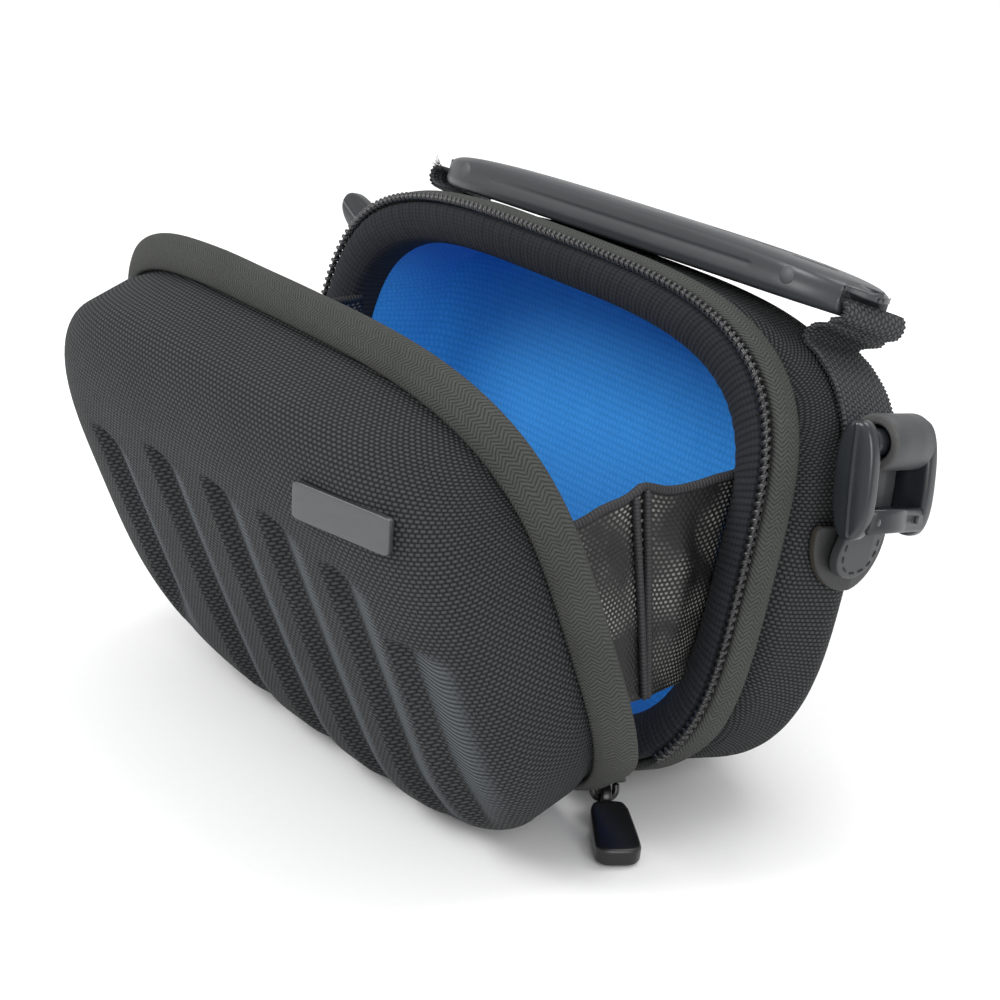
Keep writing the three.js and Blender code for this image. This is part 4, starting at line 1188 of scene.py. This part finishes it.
def make_ring(place_name, side, turn_out):
    """Two oval side plates, a round upper bar in the leather loop and a flat lower bar."""
    shape = Shape()
    above, below, half_wide = 4.0, 16.8, 3.9
    oval = superellipse(half_wide, (above + below) / 2, 2.6, 96)
    oval[:, 1] += (above - below) / 2
    rings = rounded_plate(oval, RING_PLATE_THICKNESS, 1.0, steps=5, fill=10, dome=0.25)
    for way in (-1, 1):
        placed = np.stack([rings[..., 0], way * (RING_BAR_LENGTH / 2 + rings[..., 2]), rings[..., 1]], -1)
        seam = np.exp(-((placed[..., 0] / 0.3) ** 2))
        outside = smoothstep(rings[..., 2], RING_PLATE_THICKNESS - 0.3, RING_PLATE_THICKNESS)
        placed[..., 1] += way * 0.14 * seam * outside
        shape.loft(placed)
    reach = RING_BAR_LENGTH / 2 + 0.6
    shape.loft(rod((0, -reach, 0), (0, reach, 0), UPPER_BAR_RADIUS, 36))
    bar = superellipse(1.8, 2.2, 7, 60)
    bar_x, bar_z = LOWER_BAR_OUT + bar[:, 0], LOWER_BAR_HEIGHT + bar[:, 1]
    shape.loft([np.column_stack([bar_x, np.full(len(bar), y), bar_z]) for y in (-reach, 0, reach)])
    for way in (-1, 1):
        mark = np.array([3.3, way * (RING_BAR_LENGTH / 2 - 1.3), LOWER_BAR_HEIGHT])
        shape.loft(rod(mark, mark + [0.28, 0, 0], 0.75, 24, 0.1))
    shape.moved(Matrix.Translation((0, RING_SLIDE, 0)))
    change = (
        Matrix.Translation((side * RING_PIVOT[0], RING_PIVOT[1], RING_PIVOT[2]))
        @ turned(side * turn_out, "Z")
        @ turned(RING_SWING[place_name], "Y")
    )
    made = shape.moved(change).build(f"strap_ring_{place_name}_moulding", case_frame, [ring_plastic])
    hang(made, f"ring_{place_name}", "ring_plastic", f"strap_ring_{place_name}")


# ---- Handle ----

HANDLE_CROWN = 8.2
HANDLE_END_THICKNESS = 6.0
HANDLE_MOUTH_START = 60.4
HANDLE_SLOTS = [26.0, 37.0, 48.0]
HANDLE_SLOT_WAY = (math.cos(math.radians(28)), math.sin(math.radians(28)))
HANDLE_SLOT_HALF_LENGTH, HANDLE_SLOT_HALF_WIDTH, HANDLE_SLOT_DEPTH = 4.6, 1.3, 1.1
HANDLE_END_ROUNDING = 18
HANDLE_LIP = 2.0
HANDLE_PIN_RADIUS, HANDLE_PIN_HEIGHT = 1.8, 4


def handle_section(half, top, bottom):
    """The handle's section: a flat underside, upright sides with a crease above, and a crowned top."""
    edge = min(1.6, half * 0.5)
    one_side = [
        [half - edge, bottom],
        [half, bottom + edge * 0.8],
        [half, (top + bottom) / 2],
        [half, top - 1.9],
        [half - edge * 0.35, top - 1.0],
        [half - edge * 1.3, top - 0.35],
        [half * 0.45, top - 0.05],
    ]
    other_side = [[-y, z] for y, z in reversed(one_side)]
    control = np.array(other_side[-1:] + [[0, bottom]] + one_side + [[0, top]] + other_side[:-1])
    return catmull(control, 8, loop=True)


def make_handle():
    """The moulded grip with its three sunk slots, and the pin at each end."""
    rings = []
    mouth = HANDLE_MOUTH_START
    inner = np.linspace(-mouth, mouth, 230)
    outer_angle = np.linspace(math.acos(mouth / HANDLE_HALF_LENGTH), 0.0, 16)
    tips = HANDLE_HALF_LENGTH * np.cos(outer_angle)
    stations = [(-x, True) for x in tips[::-1]] + [(x, False) for x in inner] + [(x, True) for x in tips]
    lip_underside = HANDLE_END_THICKNESS - HANDLE_LIP
    for x, is_lip in stations:
        beyond = max(0.0, abs(x) - (HANDLE_HALF_LENGTH - HANDLE_END_ROUNDING)) / HANDLE_END_ROUNDING
        half = max(HANDLE_HALF_WIDTH * math.sqrt(max(0.0, 1 - beyond**2)), 0.9)
        top = HANDLE_CROWN + (HANDLE_END_THICKNESS - HANDLE_CROWN) * (x / HANDLE_HALF_LENGTH) ** 4
        section = handle_section(half, top, lip_underside if is_lip else 0.0)
        rings.append(np.column_stack([np.full(len(section), x), section]))
    rings = np.array(rings)
    x, y, z = rings[..., 0], rings[..., 1], rings[..., 2]
    on_top = smoothstep(z, 5.2, 6.2)
    press = np.zeros_like(x)
    for middle in HANDLE_SLOTS:
        along = (x - middle) * HANDLE_SLOT_WAY[0] + (y + 2) * HANDLE_SLOT_WAY[1]
        across = (y + 2) * HANDLE_SLOT_WAY[0] - (x - middle) * HANDLE_SLOT_WAY[1]
        away = np.hypot(along / HANDLE_SLOT_HALF_LENGTH, across / HANDLE_SLOT_HALF_WIDTH)
        press += HANDLE_SLOT_DEPTH * (1 - smoothstep(away, 0.6, 1.1))
    rings[..., 2] -= press * on_top
    front = smoothstep(-y, 9.2, 9.9)
    rings[..., 1] += 0.18 * front * np.exp(-(((z - 3.9) / 0.35) ** 2)) * (np.abs(x) < 40)
    made = Shape().loft(rings).build("handle_grip_moulding", handle_frame, [handle_plastic])
    hang(made, "handle", "handle_plastic", "handle_grip")
    for place_name, side in (("right", 1), ("left", -1)):
        reach = HANDLE_HALF_WIDTH - 0.04
        near, far = ((side * HANDLE_PIN_OUT, y, HANDLE_PIN_HEIGHT) for y in (-reach, reach))
        pin = rod(near, far, HANDLE_PIN_RADIUS, 32, 0.3)
        made = Shape().loft(pin).build(f"handle_pin_{place_name}_plug", handle_frame, [pin_plastic])
        hang(made, "handle", "pin_plastic", f"handle_pin_{place_name}")


# ---- Zip slider and pull ----

SLIDER_TURN = math.radians(-52)
SLIDER_YAW = math.radians(12)
SLIDER_OFFSET = 1.3
SLIDER_THICKNESS = 1.2
BAIL_FOOT = SLIDER_OFFSET + SLIDER_THICKNESS + 0.3
BAIL_HEIGHT = BAIL_FOOT + 2.5
BAIL_WIRE_RADIUS = 0.68
PULL_TURN, PULL_HANG = math.radians(18), math.radians(-147)


def slider_frame():
    """x along the zip towards the hinge, y along the case's Y, z out of the case, yawed at the zip's end."""
    turn = np.array([SLIDER_TURN, SLIDER_TURN - 0.01])
    x, z = outline(turn, 0)
    along = Vector((x[1] - x[0], 0, z[1] - z[0])).normalized()
    outwards = along.cross(Vector((0, 1, 0)))
    return axes_frame((x[0], 0, z[0]), along, Vector((0, 1, 0)), outwards) @ turned(SLIDER_YAW, "Z")


def make_slider():
    """The slider's plate and the wire arch that holds the pull."""
    half_long, half_wide = 4.0, 3.8
    edge = superellipse(half_long, half_wide, 3.2, 64)
    edge[:, 1] *= np.where(edge[:, 0] < 0, 0.86, 1.0)
    rings = rounded_plate(edge, SLIDER_THICKNESS, 0.35, dome=0.1)
    rings[..., 2] += SLIDER_OFFSET
    made = Shape().loft(rings).build("zip_slider_plate", case_frame @ slider_frame(), [black_gloss])
    hang(made, "case", "slider_black", "zip_slider")
    leg = [[0, 2.35, BAIL_FOOT], [0, 2.3, BAIL_FOOT + 1.6], [0, 1.5, BAIL_HEIGHT]]
    other_leg = [[0, -y, z] for _, y, z in leg]
    arch = catmull(other_leg + [[0, 0, BAIL_HEIGHT + 0.1]] + leg[::-1], 6)
    shape = Shape().loft(thread(arch, BAIL_WIRE_RADIUS, 14))
    made = shape.build("slider_bail_arch", case_frame @ slider_frame(), [black_gloss])
    hang(made, "case", "slider_black", "slider_bail")


def make_pull():
    """A flat tapered tab with an eye that hangs on the bail."""
    length, width, thickness = 17.6, 8.2, 3.6
    start, half = 3.2, width / 2
    corner = [[start, -half * 0.52], [start + 1.5, -half * 0.8], [start + 3.6, -half * 0.88]]
    corner += [[length - 2.8, -half], [length - 0.9, -half * 0.88], [length, -half * 0.5]]
    loop = np.array(corner + [[x, -y] for x, y in corner[::-1]])
    edge = spaced(np.concatenate([catmull(loop, 6, loop=True), loop[:1]]), 91)[:-1]
    rings = rounded_plate(edge, thickness, 0.75, steps=6, fill=8, dome=0.12)
    rings[..., 2] -= thickness / 2
    shape = Shape().loft(rings)
    eye_corners = [[1.6, -0.6], [1.9, -1], [2.3, -1], [2.6, -0.6], [2.6, 0.6], [2.3, 1], [1.9, 1], [1.6, 0.6]]
    eye_section = catmull(eye_corners, 3, loop=True)
    shape.loft(spun(eye_section, 40), wrap=True)
    neck = superellipse(1.0, 1.0, 5, 24)
    shape.loft(np.array([np.column_stack([np.full(len(neck), x), neck]) for x in (2.1, 3.0, 4.4)]))
    hanging = turned(PULL_TURN, "Z") @ turned(PULL_HANG, "Y")
    shape = shape.moved(Matrix.Translation((0, 0, BAIL_HEIGHT)) @ hanging)
    made = shape.build("zip_pull_tab", case_frame @ slider_frame(), [black_gloss])
    hang(made, "pull", "pull_black", "zip_pull")


# ---- Badge ----

BADGE_PLACE = (47.9, -27.3, 32.1)
BADGE_FACING = (0.18, -0.911, 0.37)


def make_badge():
    """The blank plate glued to the lid's upper right corner."""
    width, height, thickness = 23.0, 6.5, 1.3
    outwards = Vector(BADGE_FACING).normalized()
    upwards = outwards.cross(Vector((1, 0, 0))).normalized()
    along = upwards.cross(outwards)
    placed = axes_frame(BADGE_PLACE, along, upwards, outwards)
    edge = superellipse(width / 2, height / 2, 14, 140)
    rings = rounded_plate(edge, thickness, 0.22, steps=4, fill=5)
    made = Shape().loft(rings).build("badge_plate_satin", lid_frame @ placed, [badge_metal])
    hang(made, "lid", "badge_satin", "badge_plate")


# ---- Camera, floor and light ----


def make_camera():
    """The photograph's viewpoint, given in the case's own frame."""
    target = Vector((17.47, -10.96, -1.49))
    distance, lens, sensor = 435.03, 84.485, 36
    right, up, back = (
        Vector((0.5797, 0.7863, 0.2135)),
        Vector((-0.3096, -0.0297, 0.9503)),
        Vector((0.7537, -0.6170, 0.2263)),
    )
    camera = bpy.data.objects.new("camera", bpy.data.cameras.new("camera"))
    camera.data.lens = lens
    camera.data.sensor_width = sensor
    camera.data.clip_start, camera.data.clip_end = 0.01, 20
    turn = case_frame.to_3x3()
    ways = [(turn @ axis).normalized() for axis in (right, up, back)]
    camera.matrix_world = axes_frame(in_row(case_frame, target + back * distance), *ways)
    bpy.context.scene.collection.objects.link(camera)
    bpy.context.scene.camera = camera


def make_floor():
    paint = Paint("floor_paper", roughness=0.9, specular=0.1)
    fibre = paint.noise(800, 2)
    material = paint.finish(paint.mix(fibre, (0.93, 0.93, 0.93), (0.96, 0.96, 0.96)))
    mesh = bpy.data.meshes.new("floor")
    reach = 3.0
    corners = [(-reach, -reach, 0), (reach, -reach, 0), (reach, reach, 0), (-reach, reach, 0)]
    mesh.from_pydata(corners, [], [(0, 1, 2, 3)])
    mesh.materials.append(material)
    floor = bpy.data.objects.new("floor", mesh)
    floor.location.z = -0.0002
    bpy.context.scene.collection.objects.link(floor)


def area_light(name, place, size, watts):
    """A square lamp at a place in metres, aimed at the case."""
    lamp = bpy.data.lights.new(name, "AREA")
    lamp.shape = "SQUARE"
    lamp.size = size
    lamp.energy = watts
    holder = bpy.data.objects.new(name, lamp)
    aim = Vector((0, 0, 0.045)) - Vector(place)
    holder.location = place
    holder.rotation_euler = aim.to_track_quat("-Z", "Y").to_euler()
    bpy.context.scene.collection.objects.link(holder)


def make_light():
    world = bpy.data.worlds.new("studio")
    world.use_nodes = True
    background = world.node_tree.nodes["Background"]
    background.inputs["Color"].default_value = (1, 1, 1, 1)
    background.inputs["Strength"].default_value = 0.75
    bpy.context.scene.world = world
    area_light("key", (-0.35, -0.75, 0.8), 0.5, 7)
    area_light("side", (0.9, -0.3, 0.5), 0.5, 4)
    area_light("top", (0.1, 0.35, 1.0), 0.6, 5)
    bpy.context.scene.view_settings.view_transform = "Standard"


# ---- The whole case ----

make_camera()
for half_name in ("body", "lid"):
    make_shell(half_name)
    make_lining(half_name)
    make_rim_binding(half_name)
    make_zip_tape(half_name)
    make_zip_coil(half_name)
make_hinge_strip()
for side_name, side_way, loop_turn in (("right", 1, math.radians(11)), ("left", -1, 0.0)):
    make_gusset(side_name, side_way)
    make_webbing(side_name, side_way)
    make_leather(side_name, side_way, loop_turn)
    make_ring(side_name, side_way, loop_turn)
make_handle()
make_slider()
make_pull()
make_badge()
make_floor()
make_light()
